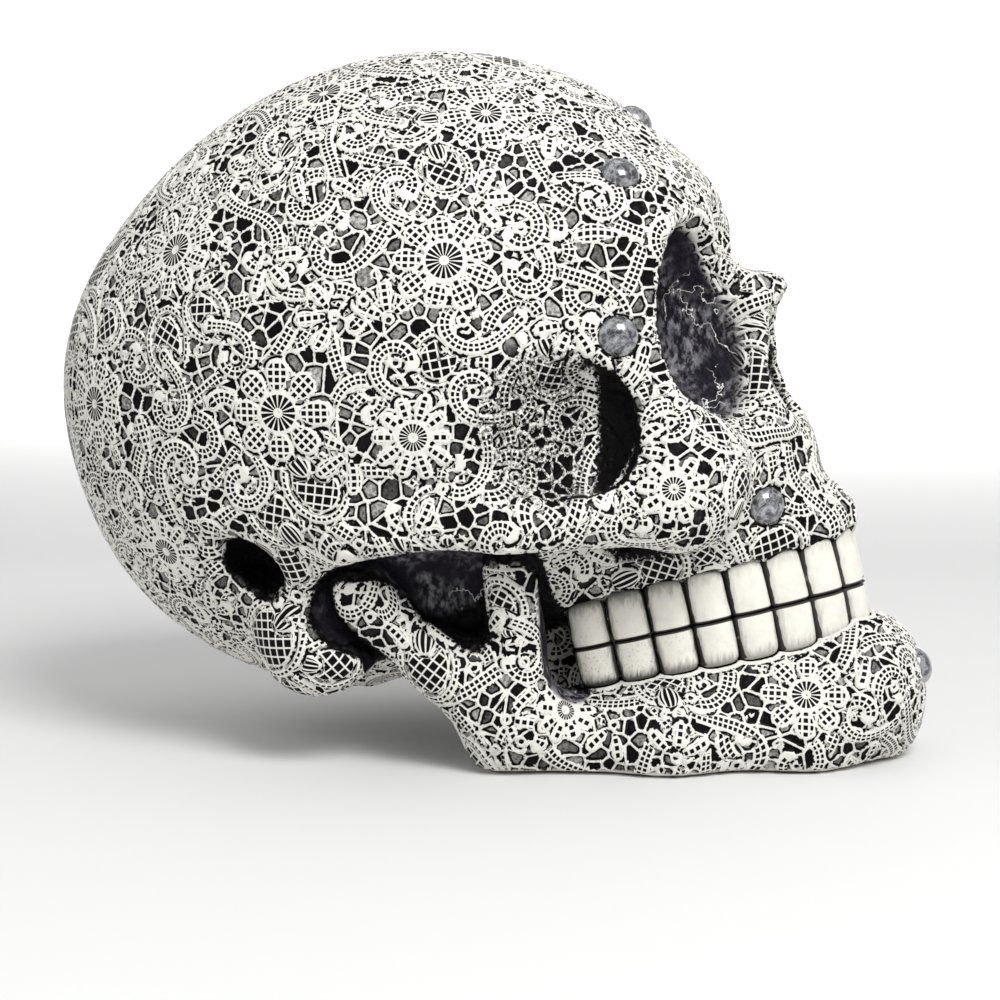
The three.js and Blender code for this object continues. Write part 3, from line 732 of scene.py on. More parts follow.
class Lace:
    """Distances to the lace's edge and the holes in it, at each corner of a skin"""

    def __init__(self, skin, outward, work):
        count = len(skin.points)
        self.points = skin.points
        self.buckets = Buckets(skin.points, work.flower / 2)
        self.outward = outward
        self.work = work
        self.strand = np.full(count, FAR)
        self.fill = np.full(count, FAR)
        self.holes = np.zeros((count, 3))
        self.net = np.full((count, 3), FAR)

    def lay(self, which, outline, across=None, along=None, openness=0.0, rim=None, solid=False):
        """A shape with this outline. Holes at whole steps across and along show inside its rim."""
        work = self.work
        rim = work.rim if rim is None else rim
        inside = outline < 0
        beyond = work.moat - outline
        self.strand[which] = np.where(inside, outline, np.maximum(self.strand[which], beyond))
        edge = np.full(len(outline), FAR) if solid else outline + rim
        self.fill[which] = np.where(inside, edge, np.maximum(self.fill[which], beyond))
        if not solid:
            near = outline < work.moat
            at = which[near]
            self.holes[at] = np.stack([across[near], along[near], np.full(near.sum(), openness)], 1)

    def around(self, seat, out, reach, spin):
        """Corners near a seat, and their places on the flat that touches the skull there"""
        close = self.buckets.near(seat, reach)
        away = self.points[close] - seat
        distance = np.linalg.norm(away, axis=1)
        kept = (distance < reach) & (self.outward[close] @ out > 0.2)
        which, away, distance = close[kept], away[kept], distance[kept]
        side, up = axes_of(out)
        x, y = away @ side, away @ up
        stretch = distance / np.maximum(np.hypot(x, y), 1e-9)
        x, y = x * stretch, y * stretch
        return which, x * math.cos(spin) + y * math.sin(spin), y * math.cos(spin) - x * math.sin(spin)

    def flower(self, seat, out, radius, petals, spin, draw):
        """Club-shaped petals round a wheel, joined to its rim"""
        work = self.work
        which, x, y = self.around(seat, out, radius * 1.3, spin)
        hub = radius * work.hub_share
        angle = np.arctan2(y, x)
        distance = np.hypot(x, y)
        number = np.round(angle / (2 * math.pi) * petals)
        lengths = draw.uniform(0.88, 1.06, petals)[number.astype(int) % petals]
        off = angle - number * 2 * math.pi / petals
        along, across = distance * np.cos(off), distance * np.sin(off)
        half_length = (radius * lengths - hub * 0.8) / 2
        middle = hub * 0.8 + half_length
        half_width = math.pi * (hub + radius) / 2 / petals * 0.9
        taper = 1 + 0.28 * np.clip((along - middle) / half_length, -1, 1)
        petal = oval(along - middle, across / taper, half_length, half_width)
        outline = joined(petal, distance - hub, work.rim)
        step = work.hole_step
        self.lay(which, outline, (along - middle) / step, across / step + 0.5, open_shares["petal"])
        inside = outline < 0
        at = which[inside]
        self.fill[at] = np.maximum(self.fill[at], (petal + work.rim)[inside])
        self.pierced_wheel(which, x, y, hub, 2 * petals)

    def pierced_wheel(self, which, x, y, radius, spokes):
        """Thin spokes between a round rim and a small ring, inside a shape that is laid already"""
        distance = np.hypot(x, y)
        core = distance < radius
        at = which[core]
        turn = np.stack([x, y], 1)[core] / radius
        self.holes[at] = np.column_stack([turn, np.full(len(at), -float(spokes))])
        ring, rim = self.work.ring, self.work.rim
        self.fill[at] = np.maximum(distance + rim - radius, ring * 0.7 - distance)[core]
        eye = ring * 0.3
        self.strand[at] = np.where(distance < eye, eye - distance, distance - radius - rim)[core]

    def fan(self, seat, out, radius, draw):
        """A round net of crossed threads in a pierced border"""
        work = self.work
        which, x, y = self.around(seat, out, radius * 1.4, draw.uniform(0, 2 * math.pi))
        stretch = draw.uniform(0.72, 0.95)
        outline = oval(x, y, radius, radius * stretch)
        angle = np.arctan2(y / stretch, x)
        border = 2.3 * work.rim
        turns = round(2 * math.pi * radius * 0.9 / work.hole_step)
        round_it = angle / (2 * math.pi) * turns
        inward = (outline + border / 2) / work.hole_step + 0.5
        self.lay(which, outline, round_it, inward, open_shares["border"])
        inner = outline + border + work.rim
        net = 1.9 * work.hole_step
        self.lay(which, inner, (x + y) / net, (x - y) / net, open_shares["fan"], rim=work.rim * 0.6)
        self.pod(which, x - radius * 0.7, y, radius * 0.42, radius * 0.3)
        for side in (-1, 1):
            self.dot(which, x - radius * 1.2, y - side * radius * 0.16)

    def pod(self, which, x, y, half_length, half_width):
        outline = oval(x, y, half_length, half_width)
        bulge = np.sqrt(np.maximum(1 - (x / half_length) ** 2, 0.05))
        across = y / (half_width * bulge) * 2
        rim = self.work.rim * 0.7
        self.lay(which, outline, across, np.full(len(x), 0.5), open_shares["pod"], rim=rim)

    def dot(self, which, x, y):
        distance = np.hypot(x, y)
        outer = self.work.ring
        self.lay(which, distance - outer, solid=True)
        core = distance < outer
        self.strand[which[core]] = np.maximum(distance - outer, outer * 0.42 - distance)[core]

    def tape(self, seat, out, length, bends, draw, end_share=1.0):
        """A tape with two rows of holes. Bends are how tightly it curls from one end to the other."""
        work = self.work
        steps = 72
        half = work.tape
        shares = np.linspace(0, 1, steps + 1)
        curl = np.interp(shares, np.linspace(0, 1, len(bends)), bends)
        heading = np.concatenate([[0], np.cumsum((curl[1:] + curl[:-1]) / 2 * (length / steps))])
        middle = np.stack([np.cos(heading), np.sin(heading)], 1) * (length / steps)
        line = np.concatenate([[[0, 0]], np.cumsum((middle[1:] + middle[:-1]) / 2, axis=0)])
        line -= line.mean(0)
        reach = np.linalg.norm(line, axis=1).max() + 2 * half
        which, x, y = self.around(seat, out, reach, draw.uniform(0, 2 * math.pi))
        away = np.stack([x, y], 1)[:, None, :] - line[None, :-1]
        pieces = line[1:] - line[:-1]
        along = np.clip((away * pieces).sum(2) / (pieces ** 2).sum(1), 0, 1)
        off = away - along[..., None] * pieces
        distance = np.linalg.norm(off, axis=2)
        nearest = distance.argmin(1)
        rows = np.arange(len(which))
        place = (nearest + along[rows, nearest]) / steps
        piece, gap = pieces[nearest], off[rows, nearest]
        side = np.sign(piece[:, 0] * gap[:, 1] - piece[:, 1] * gap[:, 0])
        widths = half * np.interp(place, [0, 0.08, 0.92, 1], [1.25, 1, end_share, end_share * 1.25])
        outline = distance[rows, nearest] - widths
        step = work.tape_step
        across = side * distance[rows, nearest] / step
        self.lay(which, outline, place * length / step, across, open_shares["tape"])
        eye = line[0] + np.array([-pieces[0][1], pieces[0][0]]) / np.linalg.norm(pieces[0]) / curl[0]
        if draw.random() < 0.5:
            self.dot(which, x - eye[0], y - eye[1])

    def leaf(self, seat, out, length, draw):
        self.lobe(seat, out, length, draw.uniform(0, 2 * math.pi), draw.uniform(-0.3, 0.3))

    def sprig(self, seat, out, length, draw):
        """Three leaves that meet at a ring"""
        start = draw.uniform(0, 2 * math.pi)
        for turn in (-1.0, 1.0, 0):
            self.lobe(seat, out, length, start + turn, 0.2 * turn, length * 0.55)
        which, x, y = self.around(seat, out, 2 * self.work.ring, 0)
        self.dot(which, x, y)

    def lobe(self, seat, out, length, spin, bow_share, shift=0):
        work = self.work
        which, x, y = self.around(seat, out, 1.3 * length, spin)
        x = x - shift
        bow = bow_share / length
        y = y + bow * (x * x)
        taper = 0.62 + 0.38 * np.clip(x / length * 2, -1, 1)
        outline = oval(x, y / taper, length / 2, length * 0.3)
        self.lay(which, outline, x / work.hole_step, y / work.hole_step + 0.5, open_shares["leaf"])

    def bars(self, seeds, draw):
        """Bars along the borders between the seeds' cells: the way to the border, signed by
        its side and unsigned, and a number drawn for each cell"""
        tree = tree_of(seeds)
        nearest = np.array([[found[1] for found in tree.find_n(point, 3)] for point in self.points])
        home = seeds[nearest[:, 0]]
        gaps = []
        for other in (1, 2):
            away = seeds[nearest[:, other]]
            between = away - home
            between /= np.linalg.norm(between, axis=1)[:, None]
            gaps.append(np.abs((((home + away) / 2 - self.points) * between).sum(1)))
        beyond = np.where(gaps[0] < gaps[1], nearest[:, 1], nearest[:, 2])
        gap = np.minimum(*gaps)
        side = np.where(nearest[:, 0] < beyond, -gap, gap)
        self.net = np.column_stack([side, gap, draw.random(len(seeds))[nearest[:, 0]]])

    def keep_clear(self, clear):
        """Takes the lace away where clear is above zero"""
        self.strand = np.maximum(self.strand, clear)
        self.fill = np.maximum(self.fill, clear)
        self.net[:, 0] = np.where(self.net[:, 0] < 0, -1, 1) * np.maximum(np.abs(self.net[:, 0]), clear)
        self.net[:, 1] = np.maximum(self.net[:, 1], clear)


def tree_of(places):
    tree = KDTree(len(places))
    for number, place in enumerate(places):
        tree.insert(place, number)
    tree.balance()
    return tree


def oval(x, y, half_length, half_width):
    a, b = x / half_length, y / half_width
    reach = np.hypot(a, b)
    slope = np.hypot(a / half_length, b / half_width)
    return reach * (reach - 1) / np.maximum(slope, 1e-9)


def spread(points, room, taken, taken_radii, draw):
    """Picks places that keep their distance from each other and from those taken already"""
    for number in draw.permutation(len(points)):
        gaps = np.linalg.norm(np.array(taken) - points[number], axis=1) - np.array(taken_radii)
        if gaps.min() > room:
            taken.append(points[number])
            taken_radii.append(room)
            yield number


def lace_over(lace, flowers, gems, coarse, coarse_out, draw):
    """Lays the whole layout of motifs over a skin"""
    work = lace.work
    taken = [place for place, *_ in flowers] + [place for _, place, _ in gems]
    radii = [radius for _, _, radius in flowers] + [3 * work.ring for _ in gems]
    plan = []
    for kinds, room, chance in (
        (("fan", "curl", "curl", "curl"), work.tape * 3.0, 1),
        (("sprig", "small curl", "small curl", "leaf"), work.tape * 1.9, 1),
        (("ring",), work.ring * 1.6, 0.6),
    ):
        for number in list(spread(coarse, room, taken, radii, draw)):
            if draw.random() < chance:
                plan.append((kinds[draw.integers(len(kinds))], number))
    order = ("curl", "fan", "small curl", "leaf", "sprig", "ring")
    for kind, number in sorted(plan, key=lambda row: order.index(row[0])):
        seat, out = coarse[number], coarse_out[number]
        if kind == "fan":
            lace.fan(seat, out, work.fan * draw.uniform(0.7, 1), draw)
        elif kind == "curl":
            tight = draw.uniform(*curl_turn_shares) / work.curl
            back = draw.choice([-1, 1]) * tight
            bends = [tight, 0.45 * tight, 0, 0.45 * back, back]
            lace.tape(seat, out, work.curl * draw.uniform(0.75, 1.05), bends, draw)
        elif kind == "small curl":
            tight = draw.uniform(*small_curl_turn_shares) / work.curl
            lace.tape(seat, out, work.curl * draw.uniform(0.4, 0.6), [tight, 0.5 * tight, 0], draw, 0.8)
        elif kind == "leaf":
            lace.leaf(seat, out, work.leaf * draw.uniform(0.8, 1.15), draw)
        elif kind == "sprig":
            lace.sprig(seat, out, work.leaf * draw.uniform(0.8, 1), draw)
        else:
            which, x, y = lace.around(seat, out, 2 * work.ring, 0)
            lace.dot(which, x, y)
    for number, (seat, out, radius) in enumerate(flowers):
        petals = work.fewest_petals + number % work.petal_kinds
        lace.flower(seat, out, radius, petals, number * work.flower_twist, draw)


def net_seeds(points, spacing, left_out, draw):
    """One random corner in each cube of space, and those that crowd another left out"""
    cells = np.floor(points / spacing).astype(int)
    order = draw.permutation(len(points))
    _, first = np.unique(cells[order], axis=0, return_index=True)
    picked = points[order[first]]
    tree = tree_of(picked)
    kept = draw.random(len(picked)) > left_out
    for number, point in enumerate(picked):
        for _, other, _ in tree.find_range(point, spacing * 0.55):
            if other > number and kept[number]:
                kept[other] = False
    return picked[kept]


# Meshes and materials


def mesh_of(name, points, faces, values):
    mesh = bpy.data.meshes.new(name)
    mesh.vertices.add(len(points))
    mesh.vertices.foreach_set("co", np.ascontiguousarray(points, np.float32).ravel())
    corners = faces.shape[1]
    mesh.loops.add(faces.size)
    mesh.loops.foreach_set("vertex_index", np.ascontiguousarray(faces, np.int32).ravel())
    mesh.polygons.add(len(faces))
    mesh.polygons.foreach_set("loop_start", np.arange(len(faces), dtype=np.int32) * corners)
    mesh.polygons.foreach_set("use_smooth", np.full(len(faces), True))
    for key, value in values.items():
        kind, field = ("FLOAT", "value") if value.ndim == 1 else ("FLOAT_VECTOR", "vector")
        layer = mesh.attributes.new(key, kind, "POINT")
        layer.data.foreach_set(field, np.ascontiguousarray(value, np.float32).ravel())
    mesh.update(calc_edges=True)
    mesh.validate()
    return mesh


def show(name, mesh, material, slot, *nodes):
    piece = bpy.data.objects.new(name, mesh)
    bpy.context.collection.objects.link(piece)
    mesh.materials.append(material)
    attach(piece, "root")
    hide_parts(*nodes)
    return piece


class Nodes:
    """Short ways to add shader nodes to one material"""

    def __init__(self, name):
        self.material = bpy.data.materials.new(name)
        self.material.use_nodes = True
        self.tree = self.material.node_tree
        self.shader = self.tree.nodes["Principled BSDF"]

    def add(self, kind, inputs=None, **settings):
        node = self.tree.nodes.new(kind)
        for key, value in settings.items():
            setattr(node, key, value)
        for key, value in (inputs or {}).items():
            self.set(node.inputs[key], value)
        return node

    def set(self, socket, value):
        if isinstance(value, bpy.types.NodeSocket):
            self.tree.links.new(value, socket)
        elif isinstance(value, bpy.types.Node):
            self.tree.links.new(value.outputs[0], socket)
        else:
            socket.default_value = value

    def value(self, name):
        return self.attribute(name).outputs["Fac"]

    def math(self, operation, *values):
        node = self.add("ShaderNodeMath", operation=operation)
        for number, value in enumerate(values):
            self.set(node.inputs[number], value)
        return node.outputs[0]

    def ramp(self, value, low, high):
        """0 below low, 1 above high and smooth between them"""
        return self.add(
            "ShaderNodeMapRange",
            {"Value": value, "From Min": low, "From Max": high},
            interpolation_type="SMOOTHSTEP",
        ).outputs[0]

    def attribute(self, name):
        return self.add("ShaderNodeAttribute", attribute_name=name)

    def noise(self, size, detail=3, roughness=0.5, vector=None):
        place = vector or self.add("ShaderNodeTexCoord").outputs["Object"]
        return self.add(
            "ShaderNodeTexNoise",
            {"Vector": place, "Scale": 1 / size, "Detail": detail, "Roughness": roughness},
        ).outputs["Fac"]

    def mix(self, share, one, other):
        node = self.add("ShaderNodeMix", data_type="RGBA")
        self.set(node.inputs["Factor"], share)
        for socket, value in (("A", one), ("B", other)):
            found = [s for s in node.inputs if s.name == socket and s.type == "RGBA"][0]
            if isinstance(value, (bpy.types.NodeSocket, bpy.types.Node)):
                self.set(found, value)
            else:
                found.default_value = (*value, 1)
        return [s for s in node.outputs if s.type == "RGBA"][0]


def lace_finish(colours, work):
    """Dry-brushed lace over black: the lace's edge, its holes, the wash and the painted shade in the hollows
    come from the mesh
    """
    n = Nodes("lace_finish")
    strand, fill, hollow = n.value("strand"), n.value("fill"), n.value("hollow")
    bare, plain, shade = n.value("bare"), n.value("plain"), n.value("shade")
    holes = n.add("ShaderNodeSeparateXYZ", {"Vector": n.attribute("holes").outputs["Vector"]})
    across, along, openness = holes.outputs

    def from_middle(value):
        return n.math("ABSOLUTE", n.math("SUBTRACT", n.math("FRACT", value), 0.5))

    # The holes are square, but narrow wedges where the openness is minus the number of spokes
    square = n.math("MAXIMUM", from_middle(across), from_middle(along))
    spokes = n.math("ABSOLUTE", openness)
    turn = n.math("MULTIPLY", n.math("ARCTAN2", along, across), n.math("DIVIDE", spokes, 2 * math.pi))
    is_wheel = n.math("LESS_THAN", openness, -0.5)
    wedge = from_middle(turn)
    shape = n.add("ShaderNodeMix", {"Factor": is_wheel}, data_type="FLOAT")
    n.set(shape.inputs["A"], square)
    n.set(shape.inputs["B"], wedge)
    reach = n.add("ShaderNodeMix", {"Factor": is_wheel}, data_type="FLOAT")
    n.set(reach.inputs["A"], openness)
    reach.inputs["B"].default_value = open_shares["wheel"]
    pierced = n.ramp(n.math("SUBTRACT", reach.outputs[0], shape.outputs[0]), -0.03, 0.03)
    pierced = n.math("MULTIPLY", pierced, n.ramp(fill, *hole_edge))

    ragged = n.math("MULTIPLY", n.math("SUBTRACT", n.noise(edge_grain, 3), 0.5), edge_sway)
    lace = n.ramp(n.math("ADD", strand, ragged), *lace_edge)
    raised = n.math("MULTIPLY", lace, n.math("SUBTRACT", 1, pierced))

    # A bar is white along the border between two cells, where the signed way to it crosses zero
    net = n.add("ShaderNodeSeparateXYZ", {"Vector": n.attribute("net").outputs["Vector"]})
    side, gap, cell_number = net.outputs
    doubtful = n.math("MULTIPLY", n.math("GREATER_THAN", gap, bar_doubt), FAR)
    from_bar = n.math("ADD", n.math("ABSOLUTE", side), doubtful)
    from_bar = n.math("SUBTRACT", from_bar, work.bar / 2)
    from_bar = n.math("MINIMUM", from_bar, n.math("SUBTRACT", gap, work.bar / 4))
    bars = n.ramp(n.math("ADD", from_bar, ragged), *bar_edge)
    bars = n.math("MULTIPLY", bars, n.math("SUBTRACT", 1, lace))
    raised = n.math("MAXIMUM", n.math("MAXIMUM", raised, bars), plain)

    # The brush misses the deep places and leaves specks there; the same fading with hollowness and with the
    # shade value also paints shade into the hollows
    speck = n.noise(brush_grain, 4, 0.7)
    wear_and_shade = n.math("MULTIPLY", n.ramp(hollow, 0.12, 0.50), 1.15)
    wear_and_shade = n.math("MAXIMUM", wear_and_shade, n.math("MULTIPLY", shade, 1.25))
    kept = n.ramp(n.math("SUBTRACT", n.math("ADD", speck, 0.42), wear_and_shade), 0.0, 0.25)
    white = n.math("MULTIPLY", raised, kept)
    white = n.math("MULTIPLY", white, n.math("SUBTRACT", 1, bare))

    from_lace = n.math("MINIMUM", strand, n.math("SUBTRACT", gap, work.bar / 2))
    sway = n.math("MULTIPLY", n.math("SUBTRACT", n.noise(cell_grain, 2), 0.5), cell_sway)
    cell = n.ramp(n.math("ADD", from_lace, sway), *cell_edge)
    cell = n.math("MULTIPLY", cell, n.ramp(n.noise(brush_grain, 4, 0.65), 0.22, 0.78))
    cell = n.math("MULTIPLY", cell, n.ramp(cell_number, 0.25, 1.0))
    # Painted shade: the brushed cells fade to black in hollows and in the shade places
    cell = n.math("MULTIPLY", cell, n.ramp(n.math("MAXIMUM", hollow, shade), 0.6, 0.15))
    ground = n.mix(cell, tuple(colours.ground), tuple(colours.brushed))

    place = n.add("ShaderNodeTexCoord").outputs["Object"]
    drawn = n.add("ShaderNodeMapping", {"Vector": place, "Rotation": (0.6, 0.2, 0), "Scale": (1, 1, 0.45)})
    fold = n.noise(fold_size, 5, 0.6, drawn.outputs[0])
    # Brush strokes gathered in patches, which also stand in as a painted broad highlight in the sockets
    patch = n.noise(sheen_patch, 2)
    stroke_and_sheen = n.math("MULTIPLY", n.ramp(fold, 0.42, 0.66), n.ramp(patch, 0.36, 0.62))
    vein = n.math("ABSOLUTE", n.math("SUBTRACT", n.noise(vein_size, 4, 0.5), 0.5))
    vein = n.math("MULTIPLY", n.ramp(vein, 0.008, 0.003), n.ramp(n.noise(vein_patch, 1), 0.53, 0.6))
    # Painted shade: the strokes fade in the deepest parts of the sockets, under the brow
    stroke_and_sheen = n.math("MULTIPLY", stroke_and_sheen, n.ramp(hollow, 0.85, 0.45))
    socket = n.mix(stroke_and_sheen, tuple(colours.socket), tuple(colours.socket_strokes_and_sheen))
    socket = n.mix(vein, socket, tuple(colours.lace))
    ground = n.mix(bare, ground, socket)

    tint = n.math("ADD", 0.10, n.math("MULTIPLY", n.noise(tint_size, 3), 0.3))
    dirt = n.math("MULTIPLY", n.ramp(n.noise(dirt_size, 5, 0.7), 0.42, 0.72), tint)
    white_colour = n.mix(dirt, tuple(colours.lace), tuple(c * 0.45 for c in colours.lace))
    n.set(n.shader.inputs["Base Color"], n.mix(white, ground, white_colour))
    rough = n.add("ShaderNodeMapRange", {"Value": white, "To Min": 0.42, "To Max": 0.62})
    n.set(n.shader.inputs["Roughness"], rough.outputs[0])
    n.shader.inputs["Specular IOR Level"].default_value = 0.06
    height = n.math("SUBTRACT", n.math("MULTIPLY", n.noise(chalk_size, 3), 0.25), pierced)
    height = n.math("ADD", height, n.math("MULTIPLY", n.math("MULTIPLY", fold, bare), 6))
    bump = n.add("ShaderNodeBump", {"Height": height, "Strength": 0.55, "Distance": relief_bump})
    n.set(n.shader.inputs["Normal"], bump.outputs[0])
    return n.material


def tooth_finish(colours):
    """Chalky enamel with dark wash in the gaps and in streaks toward the gums"""
    n = Nodes("tooth_finish")
    edge, root, bite, dirt = [n.value(name) for name in ("edge", "root", "bite", "dirt")]
    place = n.add("ShaderNodeTexCoord").outputs["Object"]
    drawn = n.add("ShaderNodeMapping", {"Vector": place, "Scale": (1, 1, 0.22)}).outputs[0]
    streak = n.noise(streak_size, 4, 0.65, drawn)
    speck = n.noise(tooth_speck, 5, 0.75)
    patch = n.noise(tooth_patch, 3)
    swayed = n.math("MULTIPLY", n.math("SUBTRACT", streak, 0.5), 0.55)
    uneven = n.math("MULTIPLY", n.math("SUBTRACT", patch, 0.5), 0.26)
    line = n.ramp(n.math("ADD", edge, uneven), 0.91, 0.97)
    lip = n.ramp(bite, 0.955, 0.99)
    sides = n.ramp(n.math("ADD", edge, swayed), 0.62, 1.02)
    gums = n.ramp(n.math("ADD", root, swayed), 0.62, 0.98)
    strength = n.math("ADD", 0.26, n.math("MULTIPLY", dirt, 0.8))
    soft = n.math("MULTIPLY", n.math("MAXIMUM", sides, gums), strength)
    dirty_speck = n.math("ADD", speck, n.math("MULTIPLY", dirt, 0.10))
    specks = n.math("MULTIPLY", n.ramp(dirty_speck, 0.62, 0.80), dirt)
    stain = n.math("MAXIMUM", n.math("MAXIMUM", line, lip), n.math("MAXIMUM", soft, specks))
    faint = n.math("MULTIPLY", n.ramp(patch, 0.4, 0.8), 0.5)
    clean = n.mix(faint, tuple(colours.tooth), tuple(c * 0.8 for c in colours.tooth))
    n.set(n.shader.inputs["Base Color"], n.mix(stain, clean, tuple(colours.grime)))
    rough = n.add("ShaderNodeMapRange", {"Value": stain, "To Min": 0.42, "To Max": 0.7})
    n.set(n.shader.inputs["Roughness"], rough.outputs[0])
    dents = n.noise(tooth_dent, 4)
    bump = n.add("ShaderNodeBump", {"Height": dents, "Strength": 0.4, "Distance": tooth_bump})
    n.set(n.shader.inputs["Normal"], bump.outputs[0])
    return n.material


def gem_finish(colours):
    """Clear dome over crinkled foil, seen as one surface with a glossy coat; the foil's bright and dark
    pattern also stands in as painted reflections in the glass
    """
    n = Nodes("gem_finish")
    place = n.add("ShaderNodeTexCoord").outputs["Object"]
    bend = n.add("ShaderNodeTexNoise", {"Vector": place, "Scale": 1 / foil_bend, "Detail": 2})
    shift = n.add("ShaderNodeVectorMath", {0: bend.outputs["Color"]}, operation="SCALE")
    shift.inputs["Scale"].default_value = foil_shift
    bent = n.add("ShaderNodeVectorMath", {0: place, 1: shift.outputs[0]}, operation="ADD").outputs[0]
    crease = n.add(
        "ShaderNodeTexVoronoi", {"Vector": bent, "Scale": 1 / foil_crease}, feature="DISTANCE_TO_EDGE",
    ).outputs["Distance"]
    # The foil's clouds and creases also paint the streaky reflections of the glass
    cloud = n.noise(foil_cloud, 4, 0.6, bent)
    creases = n.math("MULTIPLY", n.ramp(crease, 0.05, 0.0), 0.4)
    foil_and_reflection = n.math("ADD", n.ramp(cloud, 0.38, 0.66), creases)
    n.set(n.shader.inputs["Base Color"], n.mix(foil_and_reflection, tuple(colours.foil_dark), tuple(colours.foil)))
    n.shader.inputs["Metallic"].default_value = 0.35
    n.shader.inputs["Roughness"].default_value = 0.22
    n.shader.inputs["Coat Weight"].default_value = 1.0
    n.shader.inputs["Coat Roughness"].default_value = 0.02
    return n.material


def plain_finish(name, colour, roughness):
    n = Nodes(name)
    speckle = n.noise(floor_speckle, 2)
    n.set(n.shader.inputs["Base Color"], n.mix(speckle, tuple(colour), tuple(c * 0.985 for c in colour)))
    n.shader.inputs["Roughness"].default_value = roughness
    return n.material


def made_form(scene):
    return Form(scene.skull_form)


def centring(form):
    """The move that takes the skull's own place to the packed one, from the back of the cranium"""
    across_shares = np.linspace(0, 0.2, 25)
    upright_shares = np.linspace(0.3, 0.75, 75)
    across, upright = across_shares * form.sizes.width, upright_shares * form.sizes.height
    points = np.stack(np.meshgrid(across, [form.sizes.length / 2], upright), -1).reshape(-1, 3)
    for _ in range(40):
        points[:, 1] -= form.solid_cranium(points)
    return np.array([0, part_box("cranium")[1].y - points[:, 1].max(), 0])


def smooth_share(value, low, high):
    share = np.clip((value - low) / (high - low), 0, 1)
    return share * share * (3 - 2 * share)


def hollowness(form, points, outward):
    """How much of what a place sees is the skull itself, which the lace's finish turns into painted shade"""
    closed = np.zeros(len(points))
    for reach_share, weight in look_shares:
        reach = reach_share * look_step
        ahead = points + outward * reach
        open_way = np.minimum(form.solid_cranium(ahead), form.jaw(ahead))
        closed += weight * np.clip(1 - open_way / reach, 0, 1)
    return closed


def flower_seats(form, distance, shares, radius):
    """Each flower's place on the bone, the direction out of it and its radius"""
    seats = []
    for at_shares, size_share in shares:
        place, outward = form.settled(np.array([at_shares * form.scale]), distance, 12)
        seats.append((place[0], outward[0], radius * size_share))
    return seats


def gem_seats(form):
    """Each gem's name, its place on the bone and the direction out of it"""
    seats = []
    for name, at_shares, both_sides in gem_shares:
        for suffix, side in (("_left", 1), ("_right", -1)) if both_sides else (("", 1),):
            at = np.array([at_shares * form.scale]) * [side, 1, 1]
            distance = form.jaw if name == "gem_chin" else form.solid_cranium
            place, outward = form.settled(at, distance, 12)
            seats.append((name + suffix, place[0], outward[0]))
    return seats


def bone_skin(form, distance, box_shares):
    """A skin of even triangles over a bone"""
    margin = 3 * form.sizes.net_cell
    low, high = np.array(box_shares) * form.scale + [[-margin], [margin]]
    points, faces = surface_net(distance, low, high, form.sizes.net_cell)
    skin = Skin(points, faces)
    for _ in range(3):
        skin.relaxed(2)
        skin.points, skin.outward = form.settled(skin.points, distance)
    return skin


def finished_bone(scene, node, bone, outer, box_shares, is_lining, seat_shares):
    """Make a bone: its skin, fine outside and coarse on its lining, with the lace over it.
    Outer is the bone without its hollow, which the flowers sit on."""
    form, work = made_form(scene), scene.lace_work
    flowers = flower_seats(form, outer, seat_shares, work.flower)
    skin = bone_skin(form, bone, box_shares)
    lining = is_lining(skin.points)
    skin.values["hollow"] = hollowness(form, skin.points, skin.outward)
    skin.values["lining"] = lining.astype(float)
    coarse, coarse_out = skin.points[~lining], skin.outward[~lining]
    fineness = work.fineness * 1
    while skin.split(fineness * 1.34, skin.values["lining"] < 0.5):
        pass
    skin.points, outward = form.settled(skin.points, bone)
    outside = 1 - skin.values["lining"]

    draw = np.random.default_rng([work.seed, len(flowers)])
    gems = gem_seats(form)
    lace = Lace(skin, outward, work)
    lace_over(lace, flowers, gems, coarse, coarse_out, draw)
    lace.bars(net_seeds(skin.points[outside > 0.5], work.bar_spacing, work.bars_left_out, draw), draw)
    clear_gems(lace, gems, scene.gem_form)
    from_teeth = Teeth(form, scene.tooth_form, work.seed).away(skin.points, 3 * work.tooth_rim)
    trim_at_teeth(lace, from_teeth, form)

    bare, shade = bare_places(form, skin.points)
    if node == "mandible":
        corner = form.shape(form.one_side(skin.points), corner_shares)
        bare = np.maximum(bare, 1 - smooth_share(corner, *corner_wash))
    plain = plain_places(skin.points)
    bare = np.where(from_teeth < 2 * work.tooth_rim, 0, bare)
    bare = np.maximum(bare, 1 - outside)
    height = relief_height(lace, work)
    flat = plain_height_share * work.relief
    height = height + (flat - height) * np.maximum(plain, bare * bare_flat_share)
    surface = skin.points + outward * ((height - work.ground) * outside)[:, None]
    surface += centring(form)
    surface[:, 2] = np.maximum(surface[:, 2], 0)
    values = {
        "strand": lace.strand, "fill": lace.fill, "holes": lace.holes, "net": lace.net,
        "hollow": skin.values["hollow"], "bare": bare, "plain": plain, "shade": shade,
    }
    mesh = mesh_of(node + "_lace", surface, skin.faces, values)
    show(node + "_lace", mesh, lace_finish(scene.finishes, work), "cast_resin", node)


def clear_gems(lace, gems, sizes):
    """Takes the lace away under each gem"""
    for _, place, out in gems:
        away = lace.points - place
        beside = np.linalg.norm(away - np.outer(away @ out, out), axis=1)
        close = np.abs(away @ out) < sizes.width
        lace.keep_clear(np.where(close, sizes.width / 2 + lace.work.moat - beside, -FAR))


